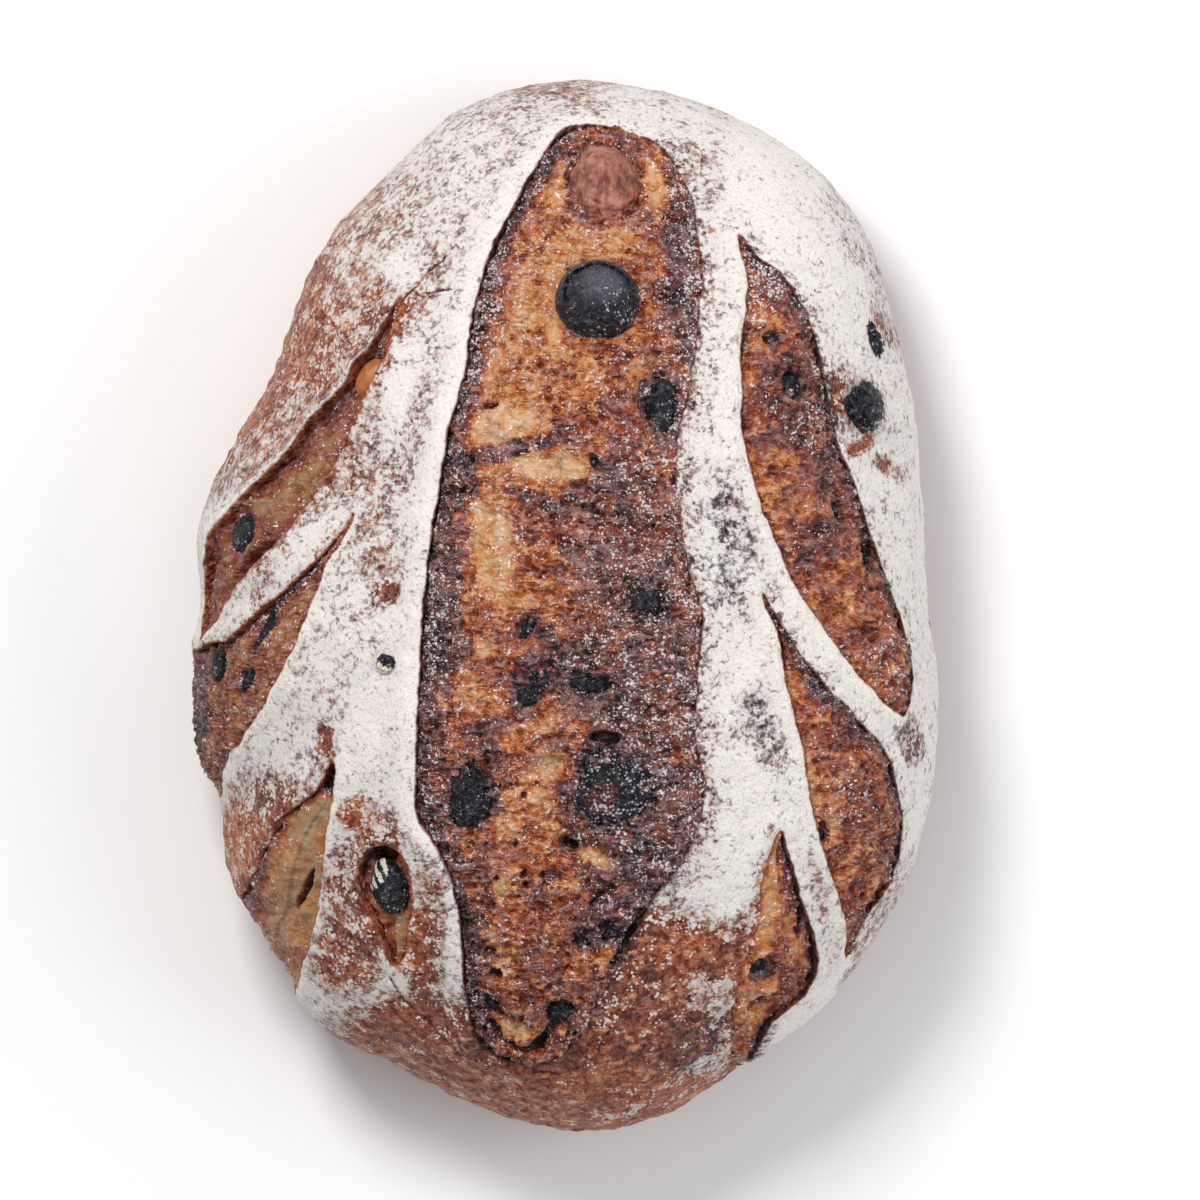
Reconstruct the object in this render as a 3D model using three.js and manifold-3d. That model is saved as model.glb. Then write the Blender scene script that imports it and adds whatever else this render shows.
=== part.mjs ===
// A hearth-baked sourdough loaf with dried fruit and nuts in the dough.
// Millimetres. X runs across the loaf, Y along it, Z up. The origin is under the middle of
// the loaf, on the surface that it rests on.
//
// The loaf is one solid: a floured skin that was slashed before baking and has opened, and
// the crumb that rose in each opening. Every fruit or nut that shows is a solid of its own,
// which sits in a socket of the loaf.

import * as THREE from "three";
import { mergeVertices } from "three/addons/utils/BufferGeometryUtils.js";
import Module from "manifold-3d";

// ---------------------------------------------------------------- driving dimensions
const LOAF_HEIGHT = 80; // from the table to the top of the skin
const WIDEST_HEIGHT = 24; // the loaf is widest this high above the table
const BASE_SHARE = 0.86; // the flat base's outline, as a share of the widest contour
const SHOULDER = 2.4; // exponent of the dome across the loaf: above 2 is flat-topped
const CROWN = 2.0; // exponent of the dome upwards: 2 is round

// The widest contour's distance from the middle, every 10 degrees, from +X towards +Y.
const OUTLINE_RADII = [
  76.2, 76.8, 79.1, 83.7, 89.4, 97.9, 103.3, 105.8, 108.6, 109.6, 105.2, 97.9,
  91.2, 84.4, 78.6, 76.5, 76.4, 77.6, 75.8, 78.9, 80.5, 82.0, 89.7, 92.6,
  101.6, 102.7, 106.8, 109.5, 108.2, 104.1, 100.8, 96.4, 92.2, 86.4, 82.0, 78.9,
];

const SKIN_DEPTH = 3.2; // how far the crumb lies below the skin at the edge of an opening
const LIP_RISE = 2.0; // how far the skin curls up beside an opening
const LIP_CREST = 3.5; // distance from the opening's edge to the crest of that curl
const LIP_WIDTH = 5.0; // how fast the curl dies away from its crest
const SWELL_WIDTH = 8.0; // how fast the crumb swells away from an opening's edge
const SOCKET_GAP = 0.35; // clearance between a fruit and its socket

// Openings in the skin, as closed outlines on the plan. `rise` is how far the crumb swells
// back up towards the middle of the opening.
const OPENINGS = {
  middle: {
    rise: 3.6,
    outline: [
      [6, 99.5], [-2.8, 95], [-8.9, 84], [-15.5, 71], [-19, 58], [-20.8, 46],
      [-25.7, 23], [-28.6, 2], [-29.8, -20], [-30.3, -38], [-27, -49], [-21.8, -63],
      [-20.6, -79], [-18.5, -90], [-11, -96], [-3.5, -95], [4, -88], [12, -74],
      [20, -60], [26.5, -48], [28.6, -38], [27.1, -28], [28.6, -4], [24.8, 9],
      [22.9, 31], [27.5, 55], [28.2, 71], [26, 85], [19, 95.5],
    ],
  },
  upper_left: {
    rise: 1.6,
    outline: [
      [-33.9, 62.3], [-41.8, 44.4], [-50.3, 27], [-60.5, 12], [-70.3, -0.5],
      [-75.2, -8], [-74.2, 4], [-73.6, 13.5], [-69.5, 21], [-61.4, 30],
      [-56.4, 37], [-48.6, 44.4], [-40.5, 53.3],
    ],
  },
  middle_left: {
    rise: 3.0,
    outline: [
      [-44.1, 18], [-49.5, 7.5], [-55.9, -9.4], [-63.4, -23], [-69.5, -33],
      [-71.5, -42], [-80, -30], [-82, -14], [-75.5, -9.4], [-67, -5.8], [-56.4, 3.1],
    ],
  },
  lower_left: {
    rise: 1.4,
    outline: [
      [-47.4, -33.5], [-48.2, -43], [-49.7, -53], [-50.9, -64], [-53, -73],
      [-57, -82], [-70, -76], [-66.1, -62], [-62, -52], [-56, -43],
    ],
  },
  upper_right: {
    rise: 2.0,
    outline: [
      [35.9, 75.4], [37.6, 64], [36.8, 50], [37.2, 34], [40.5, 20.5], [46, 6],
      [54, -7], [63, -18], [70, -23], [71.8, -15.4], [70, -4.5], [64.8, 12],
      [57.6, 32.7], [53, 51.7], [49.5, 60.5], [43, 69],
    ],
  },
  middle_right: {
    rise: 2.0,
    outline: [
      [40.9, 1], [44.6, -9], [47, -23], [51, -42], [54.1, -54], [57.4, -66],
      [57.9, -73.5], [62.5, -66], [67.6, -56.9], [69.4, -47], [67.6, -37],
      [59.3, -24], [50, -13],
    ],
  },
  lower_right: {
    rise: 1.2,
    outline: [
      [44.3, -48], [41, -57], [39, -69], [36.3, -79], [34.9, -90], [35.2, -104],
      [38.5, -98], [43, -87.5], [50, -80], [51.6, -72], [48.4, -61],
    ],
  },
};

// Pits and pores in the surface: middle on the plan, width and length, turn from +X in
// degrees, and depth.
const PITS = [
  { at: [8.4, -27.9], size: [7.3, 3.4], turn: -4, depth: 3.0 },
  { at: [2.2, -50.8], size: [4.8, 2.6], turn: -8, depth: 2.0 },
  { at: [-9.8, -89.2], size: [12.5, 5.6], turn: 4, depth: 2.6 },
  { at: [54.0, -2.6], size: [6.0, 4.2], turn: -20, depth: 2.6 },
  { at: [63.0, -6.8], size: [7.6, 4.6], turn: -45, depth: 2.4 },
  { at: [-65.6, 8.0], size: [13.0, 4.6], turn: 50, depth: 2.6 },
  { at: [-44.8, 45.2], size: [8.6, 3.6], turn: 48, depth: 2.2 },
  { at: [-36.6, -61.5], size: [11.0, 24.0], turn: 6, depth: 4.2 },
];

// Fruit and nuts that show. `size` is the width and length that show, `turn` is the turn of
// the width from +X in degrees, and `proud` is how far the middle stands above the surface
// around it, as a share of half the thickness: below 0 most of the fruit is in the dough.
const FRUITS = [
  { name: "berry_crown", at: [6.4, 61.9], size: [17.5, 16.7], proud: 0.1, big: true },
  { name: "hazelnut_top", at: [8.6, 87.6], size: [14.6, 18.4], proud: 0.0, big: true },
  { name: "raisin_edge", at: [20.1, 41.0], size: [7.5, 12.9], turn: 4, proud: -0.1 },
  { name: "currant_upper_right", at: [48.6, 45.4], size: [5.6, 5.6], proud: -0.1 },
  { name: "currant_middle_right", at: [57.4, 19.6], size: [3.8, 4.6], proud: -0.1 },
  { name: "currant_right_lip", at: [64.0, 9.2], size: [4.2, 5.0], proud: -0.1 },
  { name: "raisin_right_shoulder", at: [61.8, 40.4], size: [8.6, 10.4], proud: 0.0, big: true },
  { name: "raisin_right_side", at: [64.3, 54.6], size: [5.0, 7.2], turn: 20, proud: -0.2 },
  { name: "raisin_under_skin", at: [17.0, -0.3], size: [8.3, 7.6], turn: 10, proud: -0.2 },
  { name: "raisin_centre_slant", at: [-6.1, -17.6], size: [12.6, 5.0], turn: 50, proud: -0.1 },
  { name: "currant_centre", at: [-7.8, -5.8], size: [5.6, 2.8], turn: 58, proud: -0.1 },
  { name: "raisin_centre_sliver", at: [5.4, -17.3], size: [8.4, 4.0], turn: -6, proud: -0.1 },
  { name: "berry_burst", at: [10.2, -39.6], size: [17.4, 14.8], turn: 20, proud: -0.1, big: true },
  { name: "raisin_left_edge", at: [-19.7, -40.6], size: [9.2, 12.6], turn: -8, proud: 0.0, big: true },
  { name: "raisin_pit", at: [-36.8, -59.8], size: [8.8, 11.6], turn: 8, proud: 0.1, big: true },
  { name: "currant_lower_pair_a", at: [9.7, -68.8], size: [5.4, 4.8], proud: -0.1 },
  { name: "currant_lower_pair_b", at: [3.9, -69.8], size: [3.8, 4.6], proud: -0.1 },
  { name: "currant_end_ball", at: [-0.9, -85.2], size: [5.6, 5.8], proud: 0.1 },
  { name: "currant_end_slant", at: [-14.9, -84.4], size: [6.8, 3.6], turn: -42, proud: -0.1 },
  { name: "raisin_upper_left", at: [-68.2, 14.4], size: [8.4, 7.6], turn: 15, proud: -0.1 },
  { name: "raisin_left_slant", at: [-63.0, -6.3], size: [8.4, 4.2], turn: 55, proud: -0.1 },
  { name: "currant_left", at: [-66.6, -16.3], size: [6.2, 4.0], turn: 50, proud: -0.1 },
  { name: "raisin_left_side", at: [-73.4, -13.4], size: [7.0, 6.0], turn: 30, proud: 0.2 },
  { name: "almond_upper_left", at: [-42.3, 47.4], size: [8.6, 5.0], turn: 52, proud: -0.1 },
  { name: "currant_lower_right_a", at: [41.2, -76.7], size: [4.8, 5.0], proud: -0.1 },
  { name: "currant_lower_right_b", at: [41.9, -82.7], size: [7.4, 3.8], turn: 24, proud: -0.1 },
  { name: "currant_left_fork", at: [-49.2, -37.4], size: [3.8, 5.2], turn: -10, proud: -0.2 },
  { name: "currant_in_skin", at: [-36.8, -12.9], size: [3.8, 3.8], proud: -0.2 },
];
const FRUIT_THICKNESS = 0.82; // a fruit's thickness as a share of its mean width
const WRINKLE = 0.05; // how deep the folds of a dried fruit are, as a share of its radius

// ---------------------------------------------------------------- mesh fineness
const SKIN_GRID = { around: 60, top: 18, under: 4 };
const CRUMB_GRID = { around: 48, top: 16, under: 2 };
const STEPS_PER_POINT = 2; // straight pieces of an opening's outline between two of its points

// ---------------------------------------------------------------- finishes
const CRUST = new THREE.MeshStandardMaterial({ color: 0x9b5a34, roughness: 0.8, metalness: 0 });
const DARK_FRUIT = new THREE.MeshStandardMaterial({ color: 0x1d1a20, roughness: 0.4, metalness: 0 });
const NUT = new THREE.MeshStandardMaterial({ color: 0xa2603e, roughness: 0.6, metalness: 0 });

// ---------------------------------------------------------------- the loaf's own surface

// Distance from the middle to the widest contour, on a smooth closed curve.
function outlineRadius(angle) {
  const count = OUTLINE_RADII.length;
  const place = ((angle / (2 * Math.PI)) * count + count) % count;
  const index = Math.floor(place);
  const t = place - index;
  const [a, b, c, d] = [-1, 0, 1, 2].map((k) => OUTLINE_RADII[(index + k + count) % count]);
  const linear = (c - a) * t;
  const square = (2 * a - 5 * b + 4 * c - d) * t * t;
  const cube = (3 * b - a - 3 * c + d) * t * t * t;
  return b + (linear + square + cube) / 2;
}

// A point of the plain loaf. `fall` runs from 0 at the top to 1 at the widest contour and
// to 2 where the rounded underside meets the flat base.
function plainPoint(angle, fall) {
  let share;
  let height;
  if (fall <= 1) {
    const slope = (fall * Math.PI) / 2;
    share = Math.sin(slope) ** (2 / SHOULDER);
    height = WIDEST_HEIGHT + (LOAF_HEIGHT - WIDEST_HEIGHT) * Math.cos(slope) ** (2 / CROWN);
  } else {
    const slope = ((fall - 1) * Math.PI) / 2;
    share = BASE_SHARE + (1 - BASE_SHARE) * Math.cos(slope);
    height = WIDEST_HEIGHT * (1 - Math.sin(slope));
  }
  const radius = share * outlineRadius(angle);
  return new THREE.Vector3(radius * Math.cos(angle), radius * Math.sin(angle), height);
}

// The plain loaf's outward direction at a point, from two short steps along its surface.
function outward(angle, fall) {
  if (fall < 0.02) return new THREE.Vector3(0, 0, 1);
  const step = 0.01;
  const here = plainPoint(angle, fall);
  const round = plainPoint(angle + step, fall).sub(here);
  const up = plainPoint(angle, fall - step).sub(here);
  return round.cross(up).normalize();
}

// The openings' outlines as smooth closed curves of short straight pieces.
const outlines = Object.values(OPENINGS).map(({ outline, rise }) => {
  const knots = outline.map(([x, y]) => new THREE.Vector3(x, y, 0));
  const curve = new THREE.CatmullRomCurve3(knots, true, "centripetal");
  const points = curve.getPoints(outline.length * STEPS_PER_POINT).slice(0, -1);
  return { rise, points: points.map((p) => new THREE.Vector2(p.x, p.y)) };
});

// How far a place on the plan is from an outline: above 0 outside it, below 0 inside.
function distanceTo(points, x, y) {
  let nearest = Infinity;
  let inside = false;
  points.forEach((a, i) => {
    const b = points[(i + 1) % points.length];
    const along = new THREE.Vector2().subVectors(b, a);
    const share = ((x - a.x) * along.x + (y - a.y) * along.y) / along.lengthSq();
    const t = Math.min(1, Math.max(0, share));
    nearest = Math.min(nearest, Math.hypot(x - a.x - t * along.x, y - a.y - t * along.y));
    const crosses = a.y > y !== b.y > y;
    if (crosses && x < a.x + ((y - a.y) / (b.y - a.y)) * along.x) inside = !inside;
  });
  return inside ? -nearest : nearest;
}

// The broad dents and swellings of hand-shaped dough.
function unevenness(x, y) {
  const broad = 0.9 * Math.sin(x / 17 + 1.3) * Math.sin(y / 24 + 0.4);
  const narrow = 0.5 * Math.sin(x / 8.5 + y / 12.5 + 2.0);
  return broad + narrow;
}

// The skin curls up beside the openings. Inside an opening it is cut away, so there it just
// keeps the height of the curl.
const skin = {
  inset: 0,
  relief(x, y) {
    const curls = outlines.map(({ points }) => {
      const past = Math.max(0, distanceTo(points, x, y) - LIP_CREST) / LIP_WIDTH;
      return LIP_RISE * Math.exp(-past * past);
    });
    return unevenness(x, y) + Math.max(...curls);
  },
};

// The crumb lies below the skin and swells towards the middle of each opening.
const crumb = {
  inset: SKIN_DEPTH,
  relief(x, y) {
    const swells = outlines.map(({ points, rise }) => {
      const depth = Math.max(0, -distanceTo(points, x, y));
      return rise * (1 - Math.exp(-depth / SWELL_WIDTH));
    });
    const ripple = 0.45 * Math.sin(y / 3.1 + x / 9) * Math.sin(x / 5.3 + 1);
    return unevenness(x, y) + ripple + Math.max(...swells);
  },
};

// A point of a layer: its relief dies out on the rounded underside, and its inset doesn't.
function surfacePoint(angle, fall, layer) {
  const point = plainPoint(angle, fall);
  const fade = THREE.MathUtils.clamp(2 * (1.5 - fall), 0, 1);
  const offset = fade * layer.relief(point.x, point.y) - layer.inset;
  return point.addScaledVector(outward(angle, fall), offset);
}

// Where a place on the plan lies on the surface: its angle, fall, point and outward direction.
function placeOn(x, y, layer) {
  const angle = Math.atan2(y, x);
  const share = Math.min(0.995, Math.hypot(x, y) / outlineRadius(angle));
  const fall = (2 / Math.PI) * Math.asin(share ** (SHOULDER / 2));
  return { point: surfacePoint(angle, fall, layer), normal: outward(angle, fall) };
}

// ---------------------------------------------------------------- solids
const wasm = await Module();
wasm.setup();

function solidOf(geometry) {
  const bare = geometry.clone();
  bare.deleteAttribute("normal");
  bare.deleteAttribute("uv");
  const merged = mergeVertices(bare, 1e-4);
  const vertProperties = new Float32Array(merged.attributes.position.array);
  const triVerts = new Uint32Array(merged.index.array);
  return new wasm.Manifold(new wasm.Mesh({ numProp: 3, vertProperties, triVerts }));
}

function geometryOf(solid) {
  const { vertProperties, triVerts } = solid.getMesh();
  const geometry = new THREE.BufferGeometry();
  geometry.setAttribute("position", new THREE.BufferAttribute(vertProperties, 3));
  geometry.setIndex(new THREE.BufferAttribute(triVerts, 1));
  geometry.computeVertexNormals();
  return geometry;
}

// A closed loaf-shaped surface, from a sphere whose rows are laid out again: the top rows on
// the dome, the next ones on the rounded underside, and the last one flat across the base.
function domeSolid(layer, { around, top, under }) {
  const rows = top + under + 1;
  const ball = new THREE.SphereGeometry(1, around, rows).rotateX(Math.PI / 2);
  const position = ball.attributes.position;
  for (let i = 0; i < position.count; i++) {
    const row = Math.floor(i / (around + 1));
    const column = (i % (around + 1)) % around;
    const angle = (2 * Math.PI * column) / around;
    let point = new THREE.Vector3(0, 0, layer.inset);
    if (row === 0) point = surfacePoint(0, 0, layer);
    else if (row <= top) point = surfacePoint(angle, row / top, layer);
    else if (row < rows) point = surfacePoint(angle, 1 + (row - top) / under, layer);
    position.setXYZ(i, point.x, point.y, point.z);
  }
  return solidOf(ball);
}

// An opening's outline as an upright prism that cuts the skin away from top to widest.
function openingSolid(points) {
  const prism = new THREE.ExtrudeGeometry(new THREE.Shape(points), {
    depth: LOAF_HEIGHT,
    bevelEnabled: false,
  });
  return solidOf(prism.translate(0, 0, WIDEST_HEIGHT));
}

// A ball squeezed to the given half sizes, laid flat on the surface and turned on it.
function blobOn({ at, turn = 0 }, halves, lift, layer, fine, wrinkle, gap) {
  const ball = fine ? new THREE.IcosahedronGeometry(1, 1) : new THREE.OctahedronGeometry(1, 1);
  const position = ball.attributes.position;
  const direction = new THREE.Vector3();
  for (let i = 0; i < position.count; i++) {
    direction.fromBufferAttribute(position, i);
    const fold = Math.sin(5 * direction.x + at[0]) * Math.sin(6 * direction.y + at[1]);
    const radius = 1 + wrinkle * (fold + Math.sin(4 * direction.z + at[0]));
    const sizes = halves.map((half) => half * radius + gap);
    position.setXYZ(i, direction.x * sizes[0], direction.y * sizes[1], direction.z * sizes[2]);
  }
  const { point, normal } = placeOn(at[0], at[1], layer);
  const lay = new THREE.Quaternion().setFromUnitVectors(new THREE.Vector3(0, 0, 1), normal);
  const spin = new THREE.Quaternion().setFromAxisAngle(
    new THREE.Vector3(0, 0, 1),
    THREE.MathUtils.degToRad(turn),
  );
  ball.applyQuaternion(lay.multiply(spin));
  const middle = point.addScaledVector(normal, lift);
  return solidOf(ball.translate(middle.x, middle.y, middle.z));
}

function pitSolid(pit) {
  const halves = [pit.size[0] / 2, pit.size[1] / 2, pit.depth];
  return blobOn(pit, halves, 0, crumb, false, 0, 0);
}

const inOpening = ([x, y]) => outlines.some(({ points }) => distanceTo(points, x, y) < 0);

function fruitSolid(fruit, gap) {
  // Where the middle is below the surface, the whole fruit is wider than what shows of it.
  const hidden = Math.min(0, fruit.proud);
  const swell = 1 / Math.sqrt(1 - hidden * hidden);
  const half = fruit.size.map((size) => (swell * size) / 2);
  const thick = (FRUIT_THICKNESS * (half[0] + half[1])) / 2;
  const layer = inOpening(fruit.at) || fruit.name === "raisin_pit" ? crumb : skin;
  return blobOn(fruit, [...half, thick], fruit.proud * thick, layer, fruit.big, WRINKLE, gap);
}

let loaf = domeSolid(skin, SKIN_GRID);
outlines.forEach(({ points }) => {
  loaf = loaf.subtract(openingSolid(points));
});
loaf = loaf.add(domeSolid(crumb, CRUMB_GRID));
PITS.forEach((pit) => {
  loaf = loaf.subtract(pitSolid(pit));
});
FRUITS.forEach((fruit) => {
  loaf = loaf.subtract(fruitSolid(fruit, SOCKET_GAP));
});

// ---------------------------------------------------------------- the finished object
const sourdough = new THREE.Group();

function addPiece(name, solid, material) {
  const piece = new THREE.Mesh(geometryOf(solid), material);
  piece.name = name;
  sourdough.add(piece);
}

addPiece("loaf", loaf, CRUST);
FRUITS.forEach((fruit) => {
  const isNut = /hazelnut|almond/.test(fruit.name);
  addPiece(fruit.name, fruitSolid(fruit, 0), isNut ? NUT : DARK_FRUIT);
});

export default sourdough;
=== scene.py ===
# %% [markdown]
# A hearth loaf of sourdough with dried fruit and nuts in the dough. It was proved in a floured
# basket, turned out, slashed with a blade and baked. The floured skin has opened at every
# slash and the crumb has risen in the openings. So the loaf is made as two layers: one closed
# skin that dives steeply at every opening, and one bed of crumb for each opening, which comes
# up through it. Where the two cross, the edge of the skin is as crisp as the real one.

# %% Load the frame
import itertools
import math

import bmesh
import bpy
import numpy as np
from mathutils import Euler, Matrix, Vector, kdtree


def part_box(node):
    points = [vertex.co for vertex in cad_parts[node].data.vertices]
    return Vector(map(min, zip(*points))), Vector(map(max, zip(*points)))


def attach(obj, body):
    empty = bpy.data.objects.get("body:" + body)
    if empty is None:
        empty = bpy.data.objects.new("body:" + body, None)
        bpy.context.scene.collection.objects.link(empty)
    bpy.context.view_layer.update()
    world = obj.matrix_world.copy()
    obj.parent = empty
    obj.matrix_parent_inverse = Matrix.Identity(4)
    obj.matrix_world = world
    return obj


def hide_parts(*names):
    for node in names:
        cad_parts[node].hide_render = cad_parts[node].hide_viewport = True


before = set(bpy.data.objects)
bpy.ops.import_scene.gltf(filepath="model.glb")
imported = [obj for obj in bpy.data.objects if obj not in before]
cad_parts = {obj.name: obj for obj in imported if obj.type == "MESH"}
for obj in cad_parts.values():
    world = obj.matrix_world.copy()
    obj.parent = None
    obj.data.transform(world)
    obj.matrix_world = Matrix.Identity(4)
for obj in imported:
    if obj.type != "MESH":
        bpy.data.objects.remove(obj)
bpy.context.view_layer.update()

MM = 0.001  # shapes are worked out in millimetres and written to meshes in metres

# %% [markdown]
# The stage is a plain pale table, a large soft light from the upper left, a weaker one from
# the right and an even pale sky. Flour is nearly white and the crumb nearly black, so the
# light is soft enough to keep both readable, yet comes low enough to show the curled lips.

# %% The table
TABLE_SIZE = 4.0  # metres


def make_table():
    """A plain pale square that the loaf stands on."""
    sheet = bmesh.new()
    bmesh.ops.create_grid(sheet, x_segments=1, y_segments=1, size=TABLE_SIZE / 2)
    mesh = bpy.data.meshes.new("table")
    sheet.to_mesh(mesh)
    sheet.free()
    table = bpy.data.objects.new("table", mesh)
    bpy.context.scene.collection.objects.link(table)
    return table


table = make_table()
print("table", TABLE_SIZE, "m wide")

# %% Lights and sky
LIGHT_AIM = (0, 0, 0.04)  # the middle of the loaf, in metres
SKY_STRENGTH = 0.42


def make_area_light(name, place, size, power, colour):
    """A soft square light that points at the middle of the loaf."""
    lamp = bpy.data.lights.new(name, "AREA")
    lamp.size = size
    lamp.energy = power
    lamp.color = colour
    holder = bpy.data.objects.new(name, lamp)
    holder.location = place
    aim = Vector(LIGHT_AIM) - Vector(place)
    holder.rotation_euler = aim.to_track_quat("-Z", "Y").to_euler()
    bpy.context.scene.collection.objects.link(holder)
    return holder


key_light = make_area_light("key", (-0.28, 0.50, 0.90), 0.32, 7.4, (1.0, 0.99, 0.97))
fill_light = make_area_light("fill", (0.90, -0.10, 0.75), 0.8, 5.2, (0.97, 0.985, 1.0))
world = bpy.data.worlds.new("sky")
bpy.context.scene.world = world
world.use_nodes = True
world.node_tree.nodes["Background"].inputs["Color"].default_value = (0.98, 0.99, 1.0, 1)
world.node_tree.nodes["Background"].inputs["Strength"].default_value = SKY_STRENGTH
bpy.context.scene.view_settings.view_transform = "Standard"
print("lights of", *(round(light.data.energy, 1) for light in (key_light, fill_light)), "W")

# %% [markdown]
# The plain loaf has no openings yet. Its outline from above is a closed curve through radii
# round the middle, and its upright section is a flat-topped dome on a rounded underside. A
# place on it is an angle round the loaf and a way down from the top, measured along the
# surface, so that equal steps of way are equal steps on the crust, on the sides too.

# %% Sizes of the plain loaf, in millimetres
LOAF_HEIGHT = 80.0
WIDEST_HEIGHT = 24.0
BASE_SHARE = 0.86  # the flat base's outline as a share of the widest contour
SHOULDER = 2.4  # above 2 the dome is flat-topped
MEAN_RADIUS = 92.0

# Distance from the middle to the widest contour, every 10 degrees from +X towards +Y.
OUTLINE_RADII = np.array([
    76.2, 76.8, 79.1, 83.7, 89.4, 97.9, 103.3, 105.8, 108.6, 109.6, 105.2, 97.9,
    91.2, 84.4, 78.6, 76.5, 76.4, 77.6, 75.8, 78.9, 80.5, 82.0, 89.7, 92.6,
    101.6, 102.7, 106.8, 109.5, 108.2, 104.1, 100.8, 96.4, 92.2, 86.4, 82.0, 78.9,
])


def through(knots, place):
    """A smooth closed curve through knots. place counts knots, and may hold fractions."""
    count = len(knots)
    index = np.floor(place).astype(int)
    t = place - index
    if knots.ndim > 1:
        t = t[:, None]
    a, b, c, d = (knots[(index + k) % count] for k in (-1, 0, 1, 2))
    square = 2 * a - 5 * b + 4 * c - d
    cube = 3 * b - a - 3 * c + d
    return b + ((c - a) * t + square * t**2 + cube * t**3) / 2


def outline_radius(angle):
    """Distance from the middle to the widest contour at an angle."""
    return through(OUTLINE_RADII, angle / (2 * np.pi) * len(OUTLINE_RADII))


print("the outline is", OUTLINE_RADII.min(), "to", OUTLINE_RADII.max(), "mm from the middle")

# %% The section from the top, over the widest contour, to the middle of the base
SECTION_STEPS = 3000


def make_section():
    """Way, share of the outline's radius and height, at many steps down the section."""
    fall = np.linspace(0, 2, SECTION_STEPS)
    over = np.minimum(fall, 1) * np.pi / 2
    under = np.maximum(fall - 1, 0) * np.pi / 2
    top_share = np.sin(over) ** (2 / SHOULDER)
    top_height = WIDEST_HEIGHT + (LOAF_HEIGHT - WIDEST_HEIGHT) * np.cos(over)
    low_share = BASE_SHARE + (1 - BASE_SHARE) * np.cos(under)
    low_height = WIDEST_HEIGHT * (1 - np.sin(under))
    share = np.append(np.where(fall <= 1, top_share, low_share), 0.0)
    height = np.append(np.where(fall <= 1, top_height, low_height), 0.0)
    steps = np.hypot(np.diff(share) * MEAN_RADIUS, np.diff(height)) / MEAN_RADIUS
    return np.append(0.0, np.cumsum(steps)), share, height


WAY, SHARE, HEIGHT = make_section()
WIDEST = int(np.argmax(SHARE))
WAY_WIDEST, WAY_BASE_EDGE, WAY_END = WAY[WIDEST], WAY[-2], WAY[-1]
print(f"way to the widest contour {WAY_WIDEST:.2f}, to the base's edge {WAY_BASE_EDGE:.2f}")

# %% Places and directions on the plain loaf
SLOPE_TURN, SLOPE_STEP = 2e-3, 4e-3  # half steps of angle and way that a slope is taken over
POLE_GAP = 0.02  # slopes are taken at least this far from the top and from the base's middle
FALL_OUTSIDE = 5  # the underside takes places up to a fifth of the radius outside


def plain_point(angle, way):
    """Points of the plain loaf, in millimetres."""
    radius = np.interp(way, WAY, SHARE) * outline_radius(angle)
    height = np.interp(way, WAY, HEIGHT)
    return np.stack([radius * np.cos(angle), radius * np.sin(angle), height], axis=1)


def unit(vectors):
    """The vectors, each of length 1."""
    return vectors / np.maximum(np.linalg.norm(vectors, axis=1, keepdims=True), 1e-9)


def plain_normal(angle, way):
    """Outward directions of the plain loaf, from short steps round and down it."""
    way = np.clip(way, POLE_GAP, WAY_END - POLE_GAP)
    round_it = plain_point(angle + SLOPE_TURN, way) - plain_point(angle - SLOPE_TURN, way)
    down_it = plain_point(angle, way + SLOPE_STEP) - plain_point(angle, way - SLOPE_STEP)
    return unit(np.cross(down_it, round_it))


def place_of(plan):
    """Angle and way of places given on the plan, seen from above. A place outside the
    widest contour is on the rounded underside."""
    angle = np.arctan2(plan[:, 1], plan[:, 0])
    share = np.hypot(plan[:, 0], plan[:, 1]) / outline_radius(angle)
    way = np.interp(np.minimum(share, 1), SHARE[: WIDEST + 1], WAY[: WIDEST + 1])
    past = np.maximum(share - 1, 0) * FALL_OUTSIDE
    return angle, np.minimum(way + past * (WAY_BASE_EDGE - WAY_WIDEST), WAY_BASE_EDGE)


def unrolled(angle, way):
    """The place on a flat map of the loaf whose distances from the middle are ways."""
    radius = way * outline_radius(angle)
    return np.stack([radius * np.cos(angle), radius * np.sin(angle)], axis=1)


def place_on_map(flat):
    """Angle and way of places given on the unrolled map."""
    angle = np.arctan2(flat[:, 1], flat[:, 0])
    return angle, np.hypot(flat[:, 0], flat[:, 1]) / outline_radius(angle)


top_point = plain_point(np.zeros(1), np.zeros(1))[0]
print("the plain loaf's top is at", top_point[2], "mm")

# %% [markdown]
# Dough is uneven at every scale, so most of the shapes use noise. Gradient noise gives every
# corner of a lattice a random slope and blends between them. Layers of it, each half as large
# and half as strong, look like dough, and the whole loaf can be worked out at once in arrays.

# %% Noise in arrays
TURNED = np.array(Euler((0.6, 0.7, 0.4)).to_matrix())  # keeps the lattice off the loaf's planes
CORNER_KEYS = np.array([374761393, 668265263, 1440662683])  # large odd numbers scatter the corners
SEED_KEY, FIRST_STIR, SECOND_STIR = 974634777, 1274126177, 2246822519
LOW_BITS, ALL_BITS = 0xFFFF, 0xFFFFFFFF
NOISE_GAIN, LAYERED_GAIN = 1.6, 1.3  # bring the ends of the noise near -1 and 1
LAYER_SHIFT = 7.31  # keeps the layers' lattices off one another


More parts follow.
